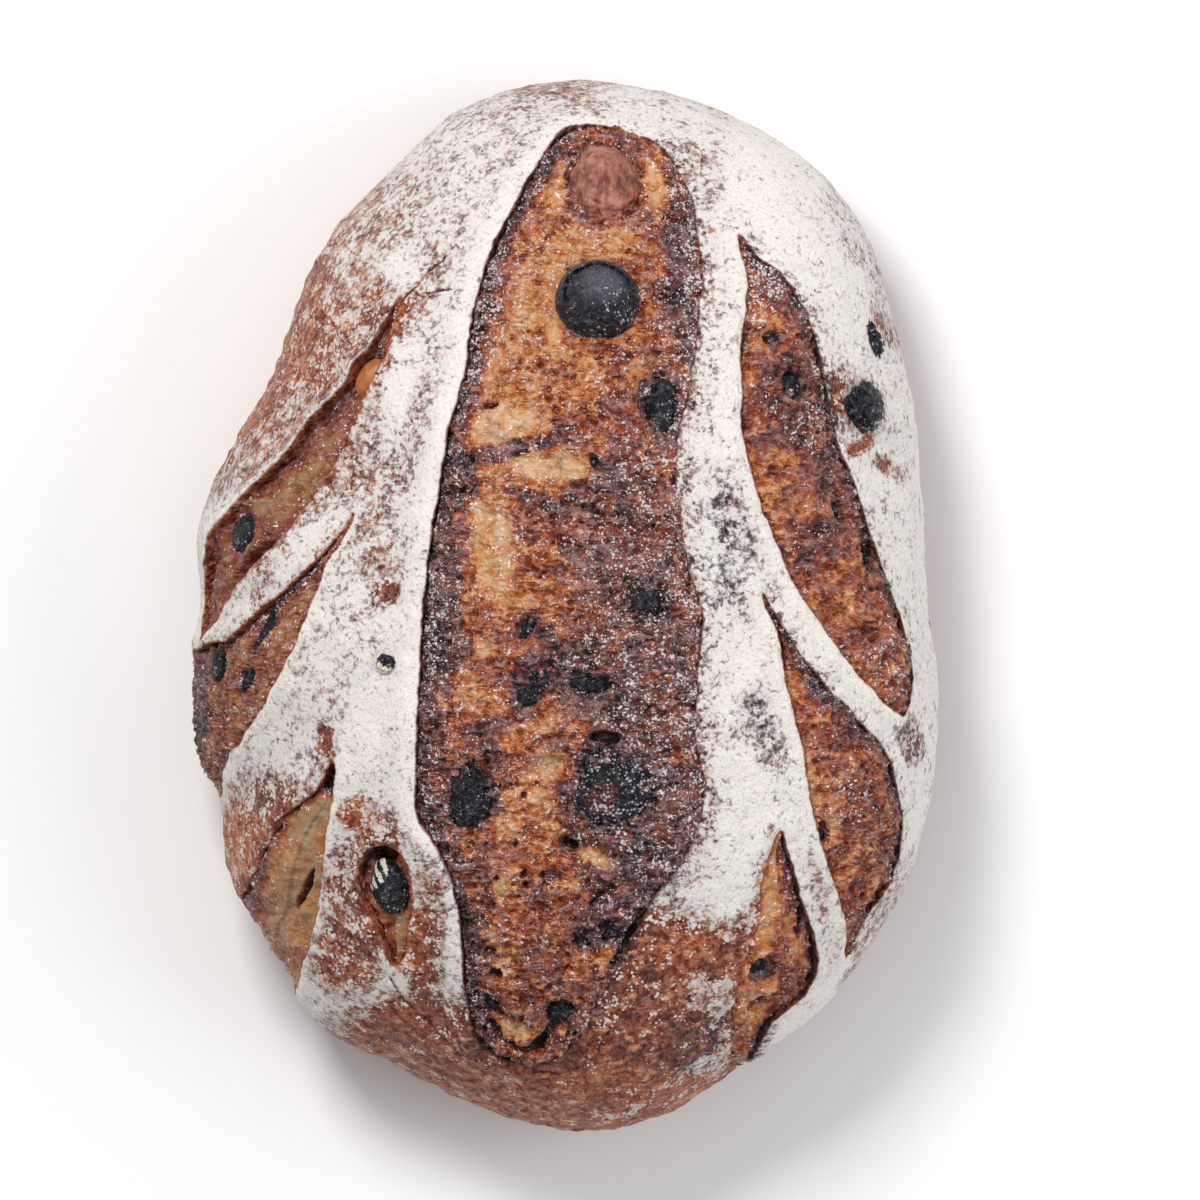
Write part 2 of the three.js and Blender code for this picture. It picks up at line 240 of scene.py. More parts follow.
def lattice_noise(points, seed):
    """Smooth noise from about -1 to 1, with one swell for each unit of length."""
    cell = np.floor(points).astype(np.int64)
    part = points - cell
    blend = part**3 * (part * (part * 6 - 15) + 10)
    total = np.zeros(len(points))
    for corner in itertools.product((0, 1), repeat=3):
        key = (cell + corner) @ CORNER_KEYS + seed * SEED_KEY
        key = (key ^ (key >> 13)) * FIRST_STIR & ALL_BITS
        key = (key ^ (key >> 16)) * SECOND_STIR & ALL_BITS
        turn = (key & LOW_BITS) / LOW_BITS * 2 * np.pi
        rise = (key >> 16) / LOW_BITS * 2 - 1
        flat = np.sqrt(1 - rise**2)
        slope = np.stack([flat * np.cos(turn), flat * np.sin(turn), rise], axis=1)
        weight = np.prod(np.where(corner, blend, 1 - blend), axis=1)
        total += weight * np.sum(slope * (part - corner), axis=1)
    return total * NOISE_GAIN


def layered_noise(points, size, layers=3, seed=0, rough=0.5):
    """Noise with swells of the given size and finer and weaker ones on them."""
    turned = points @ TURNED / size
    total = sum(
        rough**k * lattice_noise(turned * 2**k + LAYER_SHIFT * k, seed + k)
        for k in range(layers)
    )
    return total / sum(rough**k for k in range(layers)) * LAYERED_GAIN


probe = layered_noise(np.linspace((0, 0, 0), (900, 700, 500), 4000), 5.0)
print("noise runs from", round(probe.min(), 2), "to", round(probe.max(), 2))


# %% Soft steps, and the broad dents of the loaf
def on_plan(plan):
    """Plan places as points with no height, for noise that ignores the height."""
    return np.column_stack([plan, np.zeros(len(plan))])


def smooth_step(low, high, value):
    """0 below low, 1 above high and a soft rise between them."""
    t = np.clip((value - low) / (high - low), 0, 1)
    return t * t * (3 - 2 * t)


def unevenness(plan):
    """The broad dents and swellings of hand-shaped dough."""
    x, y = plan.T
    broad = 0.9 * np.sin(x / 17 + 1.3) * np.sin(y / 24 + 0.4)
    return broad + 0.5 * np.sin(x / 8.5 + y / 12.5 + 2.0)


print("at the top the loaf is uneven by", round(unevenness(np.zeros((1, 2)))[0], 2), "mm")

# %% [markdown]
# An opening is a closed outline on the plan. What the skin and the crumb do near it depends on
# how far a point is from that edge, measured on the loaf, and on which side it lies. `steep`
# is the plan direction of the side where the skin curls up most and the crumb lies deepest.
# `lip`, the height of the curl, and `sink`, the depth of the crumb, have one value for that side
# and one for the side across from it. `crest` is how far from the edge the curl is highest, and
# `rise` how far the crumb swells in the middle. `tone` is how browned the crumb is, from 0, pale
# straw, to 1, nearly black; `burnt` is the side where its edge caught the heat, and `frayed` the
# side where the flour breaks up before the edge. `torn` is how browned the skin's torn edge is on
# the burnt side and across from it, and `ridge` how wide a solid ridge of flour lies along the
# steep side and across from it. `grain` is how strong the crumb's own grain is: a slash that hardly
# opened is smooth inside. The number after `grain` is painted shade for a deep slash: it darkens
# the pale crumb to a dull olive brown, where the rest is orange.
# `burn_width` and `fray_width` are how far those two reach, and `dust` is how much loose
# flour lies on the crumb.

# %% The middle opening
OPENINGS = {
    "middle": dict(
        steep=(-1, 0), lip=(1.3, 0.2), sink=(1.0, 0.2), crest=2.6, rise=3.0,
        tone=0.52, burnt=(-1, 0), burn_width=3.8, frayed=(1, 0.1), fray_width=3.2,
        ridge=(5.0, 3.0), grain=1.0, painted_deep_shade=0.0, dust=0.40, torn=(0.86, 0.84),
        outline=[
            (6, 99.5), (0.9, 98.8), (-2.8, 95), (-8.9, 84), (-15.5, 71), (-18.6, 60),
            (-20.5, 47), (-23.4, 35.4), (-25.7, 22.7), (-27.8, 10), (-29.2, -3), (-29.9, -20),
            (-30.3, -38), (-29.7, -44.4), (-26.5, -50), (-23, -58), (-21, -68), (-20.5, -79),
            (-19, -88.5), (-16.1, -93), (-10, -96), (-3.5, -95), (2, -91), (7.4, -81),
            (12.8, -73.3), (18, -63.1), (25, -52.5), (28.6, -41), (28.4, -35), (27, -28),
            (27.6, -13), (28.6, -3), (25.7, 6), (23.6, 18.5), (22.8, 31), (26.1, 47),
            (28.2, 64), (28.2, 71), (26.1, 84.4), (20.9, 93.8), (14, 98),
        ],
    ),
}
print("middle opening:", len(OPENINGS["middle"]["outline"]), "knots")

# %% The openings on the left
OPENINGS |= {
    "upper_left": dict(
        steep=(-0.9, 0.4), lip=(1.3, 0.3), sink=(2.0, 0.35), crest=1.0, rise=0.8,
        tone=0.46, burnt=(-0.9, 0.4), burn_width=1.8, frayed=(0.9, -0.4), fray_width=2.4,
        ridge=(0.8, 0.3), grain=0.5, painted_deep_shade=1.0, dust=0.1, torn=(0.66, 0.44),
        outline=[
            (-33.9, 62.3), (-37.0, 51.7), (-40.6, 44.4), (-45.2, 35.4), (-49.4, 27), (-54.4, 19.2),
            (-60.2, 12), (-66.1, 5.8), (-70.3, -0.3), (-75.2, -8.1), (-74.9, -3), (-74.3, 4),
            (-73.2, 12.6), (-70.4, 16.6), (-67.8, 19.9), (-63.8, 24.6), (-59.4, 29.2),
            (-56.2, 33.0), (-54.4, 36.4), (-50.8, 39.8), (-46.6, 43.6), (-42.5, 49.8),
            (-39.6, 52.9), (-35.9, 59),
        ],
    ),
    "middle_left": dict(
        steep=(-0.6, 0.8), lip=(0.9, 0.4), sink=(1.5, 0.4), crest=1.6, rise=1.6,
        tone=0.46, burnt=(-0.9, 0.4), burn_width=1.6, frayed=(-0.8, 0.6), fray_width=1.4,
        ridge=(1.6, 1.2), grain=0.75, painted_deep_shade=0.8, dust=0.3, torn=(0.50, 0.38),
        outline=[
            (-44.1, 18), (-46.6, 12.9), (-49.5, 7.5), (-52, 0.8), (-55.9, -9.4), (-60.9, -18.8),
            (-63.4, -23), (-67.4, -29), (-69.9, -32.5), (-71.5, -42), (-76, -40), (-80, -30),
            (-82, -14), (-75.5, -9.6), (-70.3, -8.1), (-67, -5.8), (-61.8, -1.3), (-56.4, 3.1),
            (-51.1, 8.8), (-47.4, 12.9),
        ],
    ),
    "lower_left": dict(
        steep=(0.9, 0.2), lip=(0.8, 0.4), sink=(1.4, 0.5), crest=1.6, rise=1.2,
        tone=0.26, burnt=(-0.9, -0.3), burn_width=2.4, frayed=(-0.6, 0.8), fray_width=2.6,
        ridge=(1.4, 0.6), grain=0.45, painted_deep_shade=0.6, dust=0.1, torn=(0.60, 0.40),
        outline=[
            (-47.4, -33.5), (-47.4, -38), (-48.2, -42.5), (-49.7, -52), (-50.7, -63.5),
            (-53, -73), (-56, -82), (-66, -80), (-70, -74), (-66.5, -66), (-66.1, -62),
            (-64.5, -57.7), (-60.9, -50.2), (-58, -45), (-52.8, -40.8), (-50.7, -38.5),
        ],
    ),
    "pit": dict(
        steep=(-0.7, 0.7), lip=(0.8, 0.2), sink=(2.8, 0.5), crest=1.6, rise=0.2,
        tone=0.26, burnt=(-0.5, 0.9), burn_width=2.2, frayed=(0.5, -0.8), fray_width=4.0,
        ridge=(0.3, 0.3), grain=0.4, painted_deep_shade=0.8, dust=0.1, torn=(0.70, 0.36),
        outline=[
            (-36.8, -50.6), (-41.2, -52.6), (-42.4, -58), (-40.8, -64), (-38.2, -69.5),
            (-35.6, -75.4), (-33.6, -74), (-31.9, -66), (-31.6, -59), (-33.2, -53),
        ],
    ),
}
print("with those on the left:", len(OPENINGS), "openings")

# %% The openings on the right
OPENINGS |= {
    "upper_right": dict(
        steep=(-1, 0), lip=(1.1, 0.5), sink=(0.9, 0.5), crest=2.0, rise=2.4,
        tone=0.56, burnt=(1, 0.1), burn_width=3.2, frayed=(1, 0.1), fray_width=1.8,
        ridge=(3.6, 1.0), grain=0.9, painted_deep_shade=0.0, dust=0.15, torn=(0.88, 0.40),
        outline=[
            (35.9, 75.4), (37.8, 66.7), (37.6, 60), (36.8, 51.7), (36.9, 43), (37, 34.8),
            (39.7, 23.3), (43.6, 12.7), (47, 4.2), (52.2, -4), (58.9, -13.3), (66.1, -21.5),
            (69.9, -23.1), (71.8, -15.4), (70.3, -5.2), (67, 4.6), (64.5, 12.7), (61.6, 22.1),
            (57.6, 32.7), (54.7, 43.3), (53, 51.7), (49.9, 59.8), (45.3, 67.1), (41.1, 70),
        ],
    ),
    "middle_right": dict(
        steep=(-1, 0), lip=(1.1, 0.5), sink=(1.0, 0.5), crest=2.0, rise=2.4,
        tone=0.50, burnt=(1, 0.1), burn_width=3.2, frayed=(1, 0.2), fray_width=1.4,
        ridge=(3.4, 2.6), grain=0.9, painted_deep_shade=0.0, dust=0.15, torn=(0.86, 0.38),
        outline=[
            (40.9, 1), (44.1, -6.9), (46.1, -18.3), (49.1, -30.8), (51.4, -44), (54.1, -53.5),
            (57.6, -65), (57.8, -73.6), (61.6, -66.7), (67.6, -56.9), (69.3, -47.7),
            (68.2, -40.4), (65.7, -31.3), (59.3, -24), (53, -16.7), (46.1, -7.7), (43, -1.5),
        ],
    ),
    "lower_right": dict(
        steep=(1, 0.1), lip=(0.9, 0.4), sink=(1.3, 0.3), crest=1.6, rise=1.4,
        tone=0.38, burnt=(1, 0.3), burn_width=1.8, frayed=(-1, 0.2), fray_width=2.0,
        ridge=(3.0, 1.6), grain=0.7, painted_deep_shade=0.1, dust=0.2, torn=(0.84, 0.46),
        outline=[
            (44.3, -48), (41.1, -56.5), (39.9, -66.3), (36.6, -77.3), (35.1, -88.3),
            (34.7, -98), (35.5, -104), (38.5, -99), (42, -88.8), (49.3, -81), (51.4, -75.6),
            (51.4, -71.3), (48.4, -61), (45.7, -51),
        ],
    ),
}
print("openings:", ", ".join(OPENINGS))

# %% Lay the outlines on the loaf
EDGE_STEP = 0.35  # distance between the points of an edge
EDGE_WOBBLE = 0.5  # torn dough doesn't part in a smooth line


def flat_direction(x, y):
    """A direction on the plan, of length 1."""
    return np.array([x, y, 0.0]) / math.hypot(x, y)


def lay_edge(outline):
    """The edge of an opening as close points on the plain loaf and on the unrolled map."""
    knots = np.array(outline, float)
    turning = np.cross(knots, np.roll(knots, -1, axis=0)).sum()
    knots = unrolled(*place_of(knots if turning > 0 else knots[::-1]))
    length = np.linalg.norm(np.diff(knots, axis=0, append=knots[:1]), axis=1).sum()
    count = int(length / EDGE_STEP)
    flat = through(knots, np.arange(count) / count * len(knots))
    raised = on_plan(flat)
    flat[:, 0] += EDGE_WOBBLE * layered_noise(raised, 4.0, 3, seed=3)
    flat[:, 1] += EDGE_WOBBLE * layered_noise(raised, 4.0, 3, seed=4)
    return plain_point(*place_on_map(flat)), flat


def make_tree(points):
    """The points in a form that finds the nearest one fast."""
    tree = kdtree.KDTree(len(points))
    for i, point in enumerate(points):
        tree.insert(point, i)
    tree.balance()
    return tree


for name, opening in OPENINGS.items():
    opening["edge"], opening["map"] = lay_edge(opening["outline"])
    opening["tree"] = make_tree(opening["edge"])
    for direction in ("steep", "burnt", "frayed"):
        opening[direction] = flat_direction(*opening[direction])
print("edge points:", {name: len(opening["edge"]) for name, opening in OPENINGS.items()})

# %% How far points are from an opening's edge
FAR = 99.0


def is_inside(points, polygon):
    """Which points lie in a polygon: a line from them crosses its sides an odd number of times."""
    x, y = points.T
    inside = np.zeros(len(points), bool)
    for (x0, y0), (x1, y1) in zip(polygon, np.roll(polygon, -1, axis=0)):
        crosses = (y0 > y) != (y1 > y)
        inside ^= crosses & (x < (x1 - x0) * (y - y0) / (y1 - y0 + 1e-12) + x0)
    return inside


def from_edge(opening, base, normal, angle, way, reach=14.0):
    """Distance from the edge, above 0 on the skin's side, and the direction away from the
    opening. Points further than reach from the opening's box keep the distance FAR."""
    edge = opening["edge"]
    distance = np.full(len(base), FAR)
    away = np.zeros_like(base)
    near = np.all((base > edge.min(0) - reach) & (base < edge.max(0) + reach), axis=1)
    rows = np.flatnonzero(near)
    if not len(rows):
        return distance, away
    found = np.array([opening["tree"].find(p)[1] for p in base[rows]])
    along = unit(edge[(found + 2) % len(edge)] - edge[found - 2])
    offset = base[rows] - edge[found]
    offset -= along * np.sum(offset * along, axis=1, keepdims=True)
    gap = np.linalg.norm(offset, axis=1)
    sign = np.where(is_inside(unrolled(angle[rows], way[rows]), opening["map"]), -1.0, 1.0)
    square = np.cross(along, normal[rows])
    distance[rows] = gap * sign
    away[rows] = unit(offset * sign[:, None] + 0.2 * square)
    return distance, away


def between(pair, away, direction):
    """The first value on the side that lies in the direction, the second across from it."""
    share = smooth_step(-0.7, 0.7, away @ direction)
    return pair[1] + (pair[0] - pair[1]) * share


top_is_open = is_inside(np.zeros((1, 2)), OPENINGS["middle"]["map"])[0]
print("the loaf's top lies in the middle opening:", bool(top_is_open))

# %% Hairline cracks that run on from the slashes
LINE_STEP = 0.3  # rough distance between the points that are laid on a crack or a strand
CRACK_WOBBLE = 0.5  # how far a crack wanders off its line
CRACKS = [
    [(-37.2, 59.0), (-34.6, 61.4), (-32.2, 64.4), (-28.2, 68.4), (-24.7, 71.5)],
    [(-28.4, 64.0), (-25.8, 64.9), (-23.4, 64.6)],
    [(-36.4, -78.4), (-33.0, -84.0), (-27.4, -89.0), (-22.0, -94.5)],
    [(-9.0, -96.5), (-1.0, -98.0), (6.0, -94.4), (9.4, -88.4)],
]


def along_line(line):
    """Close points along a line on the plan."""
    laid = []
    for start, end in zip(np.array(line[:-1]), np.array(line[1:])):
        share = np.linspace(0, 1, int(math.dist(start, end) / LINE_STEP) + 1)[:, None]
        laid.append(start + (end - start) * share)
    return np.concatenate(laid)


def lay_cracks():
    """Close points along every crack, on the plain loaf."""
    plan = np.concatenate([along_line(crack) for crack in CRACKS])
    raised = on_plan(plan)
    push = [layered_noise(raised, 3.0, 3, seed=s) for s in (5, 6)]
    plan = plan + CRACK_WOBBLE * np.stack(push, axis=1)
    return plain_point(*place_of(plan))


crack_points = lay_cracks()
crack_tree = make_tree(crack_points)
print(len(CRACKS), "cracks of", len(crack_points), "points")


def from_cracks(base):
    """Distance of points from the nearest crack."""
    return np.array([crack_tree.find(point)[2] for point in base])


# %% [markdown]
# Flour and browning differ from place to place: the basket's ridges left bare stretches, the
# lower end has hardly any flour, and the crumb is pale where a bubble kept it thin and dark
# where it stood proud in the oven. Oval patches, laid over one another in order, paint such
# fields. The plan is pushed about by noise first, which gives every patch a torn edge. A
# field is worked out before the shapes, because the relief follows it: bare crust is
# blistered, and a pale window in the crumb is sunken and smoother.

# %% Where the flour lies on the left
# Each patch: middle on the plan, width and length, turn of the width from +X, value.
FLOUR_PATCHES = [
    ((4, 96), (90, 26), 0, 0.66),  # the top end
    ((2, 108), (40, 6), 0, 0.48),
    ((22, 101), (40, 9), -22, 0.80),
    ((-52, 66), (48, 74), -32, 0.42),  # the upper left flank
    ((-66, 50), (26, 70), -30, 0.14),
    ((-52, 80), (16, 40), -46, 0.34),
    ((-62, 33), (9, 26), -38, 0.50),
    ((-26, 88), (24, 30), -34, 0.74),
    ((-38, 76), (12, 34), -40, 0.62),
    ((-33, 70), (9, 12), -30, 0.78),
    ((-39, 30), (20, 52), -20, 0.62),  # between the upper left opening and the middle
    ((-40, 54), (8, 12), -30, 0.36),
    ((-34, 45), (7, 26), -12, 0.92),
    ((-43, 20), (12, 13), -30, 0.52),
    ((-36, 8), (14, 16), 0, 0.60),
    ((-37, 1.5), (7, 5), 0, 0.30),
    ((-55, 10), (9, 30), -50, 0.84),  # the ribbon between the left openings
    ((-62, 3), (8, 5), 40, 0.62),
    ((-44, -14), (24, 26), 0, 0.76),
    ((-38, -22), (12, 14), 0, 0.90),
    ((-56, -30), (24, 18), 30, 0.76),  # the lower left
    ((-49.5, -28.5), (4, 6), 0, 0.30),
    ((-62, -42), (16, 14), -10, 0.40),
    ((-66, -54), (10, 24), 15, 0.16),
    ((-39, -32), (14, 12), 0, 0.84),
    ((-40, -44), (14, 8), 0, 0.50),
    ((-43.5, -44), (5, 6), 0, 0.20),
    ((-38, -56), (15, 22), -10, 0.34),  # round the pit
    ((-31, -52), (5, 18), -14, 0.72),
    ((-40, -66), (6, 14), 14, 0.34),
    ((-46, -62), (8, 26), 0, 0.40),
    ((-45, -74), (14, 16), 0, 0.24),
    ((-27, -62), (6, 30), -8, 0.50),
    ((-29, -74), (9, 18), 0, 0.34),
]
print(len(FLOUR_PATCHES), "patches of flour on the left")

# %% Where the flour lies on the right
FLOUR_PATCHES += [
    ((33, 24), (9, 40), 0, 0.86),  # the strip beside the middle opening
    ((36, 16), (10, 26), 8, 0.60),
    ((38, 2), (12, 16), 20, 0.66),
    ((34, -14), (12, 22), 0, 0.90),
    ((41, -27), (10, 18), 12, 0.58),
    ((35, -42), (16, 26), 0, 0.94),
    ((36, -62), (16, 14), -20, 0.90),
    ((38, -70), (6, 20), -8, 0.56),
    ((58, 88), (26, 30), 0, 0.74),  # the upper right
    ((44, 84), (18, 34), 20, 0.90),
    ((66, 66), (9, 40), 24, 0.70),
    ((58, 62), (10, 26), 20, 0.86),
    ((69, 70), (5, 16), 24, 0.42),
    ((74, 30), (9, 60), 0, 0.84),
    ((60.8, 40.6), (13, 14), 0, 0.56),
    ((56.9, 43.4), (2.6, 11), -14, 0.30),  # round the raisin on the shoulder
    ((61.5, 32.0), (5.0, 3.4), 20, 0.20),
    ((64, 33.4), (3, 4.4), 0, 0.34),
    ((68, 28), (9, 2.4), -25, 0.40),
    ((66.5, 57), (3.4, 9), 28, 0.34),
    ((56, -6), (10, 46), 38, 0.86),
    ((71, -29), (5, 10), 10, 0.34),
    ((54, -26), (6, 14), 38, 0.72),
    ((54, -66), (8, 34), 12, 0.78),
    ((52, -60), (3.4, 18), 12, 0.60),
]
print(len(FLOUR_PATCHES), "with those on the right")

# %% Where the flour lies at the bare lower end
FLOUR_PATCHES += [
    ((24, -78), (34, 26), 0, 0.12),
    ((-20, -106), (120, 46), 8, 0.04),
    ((16, -96), (36, 22), 0, 0.05),
    ((-34, -96), (30, 26), 20, 0.10),
    ((36, -88), (12, 22), 6, 0.56),
    ((31, -83), (16, 7), -16, 0.60),
    ((27, -79), (8, 6), 0, 0.40),
    ((28, -98), (26, 5), 28, 0.62),
    ((16, -103), (30, 5), 18, 0.20),
    ((54, -84), (12, 34), -36, 0.90),
    ((64, -68), (5, 34), -26, 0.62),
]
print(len(FLOUR_PATCHES), "patches of flour in all")

# %% How browned the skin is
CRUST_PATCHES = [
    ((-56, 60), (40, 90), -32, 0.44),
    ((-74, 20), (10, 60), 0, 0.62),
    ((-30, -88), (60, 30), -20, 0.52),
    ((0, -104), (90, 18), 6, 0.44),
    ((26, -92), (26, 12), 8, 0.80),
    ((16, -90), (14, 14), 0, 0.66),
    ((24, -74), (16, 16), 0, 0.46),
    ((18, -80), (8, 8), 0, 0.78),
    ((61.5, 32), (8, 6), 0, 0.42),
    ((-42, -44), (12, 8), 0, 0.36),
    ((-33, -64), (6, 16), 0, 0.40),
    ((-66, -54), (10, 28), 10, 0.34),
    ((34, 14), (12, 40), 0, 0.95),
    ((41, -27), (12, 22), 12, 0.95),
    ((71, -30), (8, 12), 0, 0.80),
]
print(len(CRUST_PATCHES), "patches of browned skin")

# %% How browned the crumb of the middle opening is
BROWN_PATCHES = [
    ((14, -18), (36, 96), 2, 0.74),  # the dark right half of the middle
    ((17, -56), (26, 40), 25, 0.84),
    ((24.5, 64), (8, 50), 3, 0.82),
    ((12, 46), (26, 22), 0, 0.50),
    ((0, 46), (16, 18), 0, 0.34),
    ((3, 18), (26, 14), 0, 0.66),
    ((-11, -8), (26, 40), 0, 0.45),
    ((-8, -36), (26, 46), -14, 0.50),
    ((-6, -78), (24, 28), 0, 0.54),
    ((-4, 72), (22, 22), 0, 0.34),
    ((4, 78), (14, 5), 0, 0.56),
    ((-12, 44), (22, 30), 0, 0.36),
    ((8, -14), (24, 16), 0, 0.84),
    ((14, 14), (22, 26), 0, 0.74),
]
print(len(BROWN_PATCHES), "broad stretches of crumb")

# %% Golden stretches and pale windows, where bubbles kept the crumb thin
BROWN_PATCHES += [
    ((-10.3, 1.8), (19, 9), 0, 0.34),
    ((-5, -44), (15, 32), -20, 0.40),
    ((-8, 58), (8, 26), -6, 0.26),
    ((5, 73), (24, 8), 6, 0.26),
    ((-2, 61), (5, 20), 0, 0.12),
    ((15.5, 62), (4, 14), 0, 0.50),
    ((-16, 50), (9, 8), 0, 0.16),
    ((-14, 55.5), (4.4, 4), 0, 0.20),
    ((-10, 46), (8, 6), 0, 0.50),
    ((-12.5, 36.4), (16, 9), 5, 0.00),  # pale windows
    ((-14.5, 12), (8.4, 26), 4, 0.09),
    ((-9, 22), (16, 6), 14, 0.40),
    ((-3, 27.2), (19, 6.4), -3, 0.07),
    ((-1.6, 86.0), (4.0, 14), -6, 0.14),
    ((18.6, 86), (4.4, 10), 6, 0.18),
    ((17, 76), (5, 8), 0, 0.50),
    ((-18.4, -9.4), (8, 7), 0, 0.22),
    ((-20, -9), (3, 5), 0, 0.66),
    ((-18, -20), (12, 6), 0, 0.28),
    ((-7, -25.4), (7, 3.4), 0, 0.26),
    ((-3.8, -34.6), (10, 5), 24, 0.18),
    ((-7.4, -39.4), (6, 5), 0, 0.24),
    ((-11.2, -45.6), (6, 4.6), 0, 0.26),
    ((6.2, -52.6), (8, 3.6), -26, 0.16),
    ((-12.8, -58.6), (3.6, 8), 8, 0.22),
    ((-9.5, -87.8), (11, 3.4), 6, 0.14),
    ((-8, -94.5), (22, 6), 0, 0.42),
    ((-12, -71), (8, 12), 0, 0.38),
]
print(len(BROWN_PATCHES), "with the golden and the pale ones")

# %% Darker folds and spots
BROWN_PATCHES += [
    ((-13, 30.6), (24, 3.6), 12, 0.80),
    ((-20, 24), (7, 8), 0, 0.78),
    ((-6, 20.8), (12, 3), -16, 0.84),
    ((-24, -2), (6, 34), 0, 0.84),
    ((-27, -8), (3.4, 12), 0, 0.97),
    ((-26, -36), (6, 26), 0, 0.80),
    ((-27.5, -46), (4, 7), 0, 0.97),
    ((-14, -25.4), (16, 3.2), 16, 0.80),
    ((-15, -31), (4, 8), 20, 0.82),
    ((7, -67), (14, 9), 0, 0.84),
    ((10.4, 25.4), (4.4, 7), 40, 0.93),
    ((7, 22), (10, 5), -10, 0.74),
    ((24, -16), (4, 12), 0, 0.93),
    ((22.5, -47), (4, 6), 0, 0.95),
    ((-8, -14), (4, 11), -30, 0.88),
    ((-3.6, -9), (4, 8), -14, 0.92),
]
print(len(BROWN_PATCHES), "with the dark ones")

# %% How browned the crumb of the side openings is
BROWN_PATCHES += [
    ((-57, 24), (9, 24), -42, 0.36),  # on the left
    ((-47, 41), (5, 12), -36, 0.60),
    ((-55, 27), (4, 18), -40, 0.26),
    ((-63.5, 20), (8, 4), 28, 0.28),
    ((-62, 14), (8, 5), -30, 0.58),
    ((-72, 2), (5, 12), 0, 0.62),
    ((-66, 0), (5, 7), 0, 0.30),
    ((-60, -12), (7, 26), -30, 0.34),
    ((-66, -24), (5, 16), -20, 0.26),
    ((-64, -18), (3, 20), -24, 0.50),
    ((-77, -24), (8, 26), 0, 0.84),
    ((-55, -52), (7.4, 30), -12, 0.20),
    ((-51.5, -46), (6, 13), -14, 0.04),
    ((-52, -56), (3, 20), -6, 0.20),
    ((-65.6, -62), (5, 24), -16, 0.70),
    ((-59, -70), (8, 10), 0, 0.26),
    ((-65.5, -70), (6, 20), -24, 0.68),
    ((-56, -74), (8, 6), 0, 0.46),
    ((-35, -68), (4.4, 14), 10, 0.12),
    ((44, 62), (14, 9), 0, 0.52),  # on the right
    ((46, 44), (16, 22), 0, 0.72),
    ((42, 57), (9, 4), 0, 0.48),
    ((44, 27), (10, 22), 16, 0.50),
    ((52, 30), (7, 18), 16, 0.66),
    ((50, 12), (16, 11), 20, 0.72),
    ((56, -2), (14, 12), 20, 0.44),
    ((64, -8), (8, 22), 14, 0.54),
    ((62, -17), (10, 8), 0, 0.48),
    ((38.6, 50), (2.6, 30), 2, 0.48),
    ((43, 20), (3, 28), 20, 0.42),
    ((46, -24), (5, 26), 10, 0.34),
    ((50, -38), (5, 18), 10, 0.26),
    ((60, -44), (14, 26), 0, 0.56),
    ((54.6, -47), (3.6, 7), 10, 0.22),
    ((61, -58), (12, 14), -10, 0.50),
    ((57, -68), (5, 12), 0, 0.42),
    ((42.6, -58), (4.6, 20), -4, 0.12),
    ((40.4, -68), (5, 12), -8, 0.22),
    ((46.6, -66), (4, 22), -8, 0.46),
    ((46, -78), (6, 18), 14, 0.54),
    ((39, -84), (6, 20), 10, 0.32),
    ((37, -94), (4, 14), 4, 0.50),
]
print(len(BROWN_PATCHES), "patches of crumb in all")

# %% Where loose flour lies on the crumb
DUST_PATCHES = [
    ((16, -12), (28, 96), 0, 0.66),
    ((24, 64), (10, 56), 0, 0.70),
    ((5.7, 10), (3.0, 2.2), 0, 1.0),
    ((-26, -4), (6, 34), 0, 0.66),
    ((-24, -36), (8, 20), 0, 0.55),
    ((40, 66), (12, 16), 0, 0.90),
    ((44, 40), (3, 2.4), 0, 0.95),
    ((50, 36), (8, 12), 0, 0.62),
    ((58, -40), (8, 14), 0, 0.60),
    ((66, -14), (8, 14), 10, 0.60),
    ((-16, 60), (6, 34), -12, 0.70),
]
print(len(DUST_PATCHES), "patches of loose flour")

# %% Lay patches over a field
PUSH = 1.5  # how far the noise pushes the plan about
PATCH_FULL, PATCH_END = 0.62, 1.30  # a patch is full up to the first share and gone at the second


def push_about(plan, seed):
    """The plan with every place pushed about by noise."""
    raised = on_plan(plan)
    push = [layered_noise(raised, 6.5, 5, seed=seed + k, rough=0.62) for k in (0, 1)]
    return plan + PUSH * np.stack(push, axis=1)


def ellipse_share(plan, at, size, turn):
    """0 in the middle of an ellipse, 1 on its line and more outside."""
    angle = math.radians(turn)
    offset = plan - np.array(at)
    across = offset @ (math.cos(angle), math.sin(angle)) / (size[0] / 2)
    along = offset @ (-math.sin(angle), math.cos(angle)) / (size[1] / 2)
    return np.hypot(across, along)


def lay_patches(values, plan, patches):
    """Lays soft oval patches over a field of values, in their order."""
    for at, size, turn, value in patches:
        weight = smooth_step(PATCH_END, PATCH_FULL, ellipse_share(plan, at, size, turn))
        values = values + weight * (value - values)
    return values


sample = lay_patches(np.full(1, 0.8), np.zeros((1, 2)), BROWN_PATCHES)
print("browning at the loaf's top, before the noise:", round(sample[0], 2))

# %% [markdown]
# The skin is one closed ball of small triangles that is pulled onto the plain loaf. A ball of
# even triangles has no seam and no crowded poles. Near the openings and cracks its faces are
# cut up while it is still a ball, so that the thin lips get small triangles and the plain
# stretches stay light.

# %% A ball with finer faces where the lips will be
BALL_LEVEL = 7  # each level has four times the faces of the one before
POLAR_WIDEST, POLAR_BASE = 0.68, 0.82  # where on the ball the widest contour and base edge are
FIRST_CUT, SECOND_CUT = (-1.0, 2.4), (-0.6, 0.7)  # distances from an edge that are cut up
CRACK_CUT = 0.9


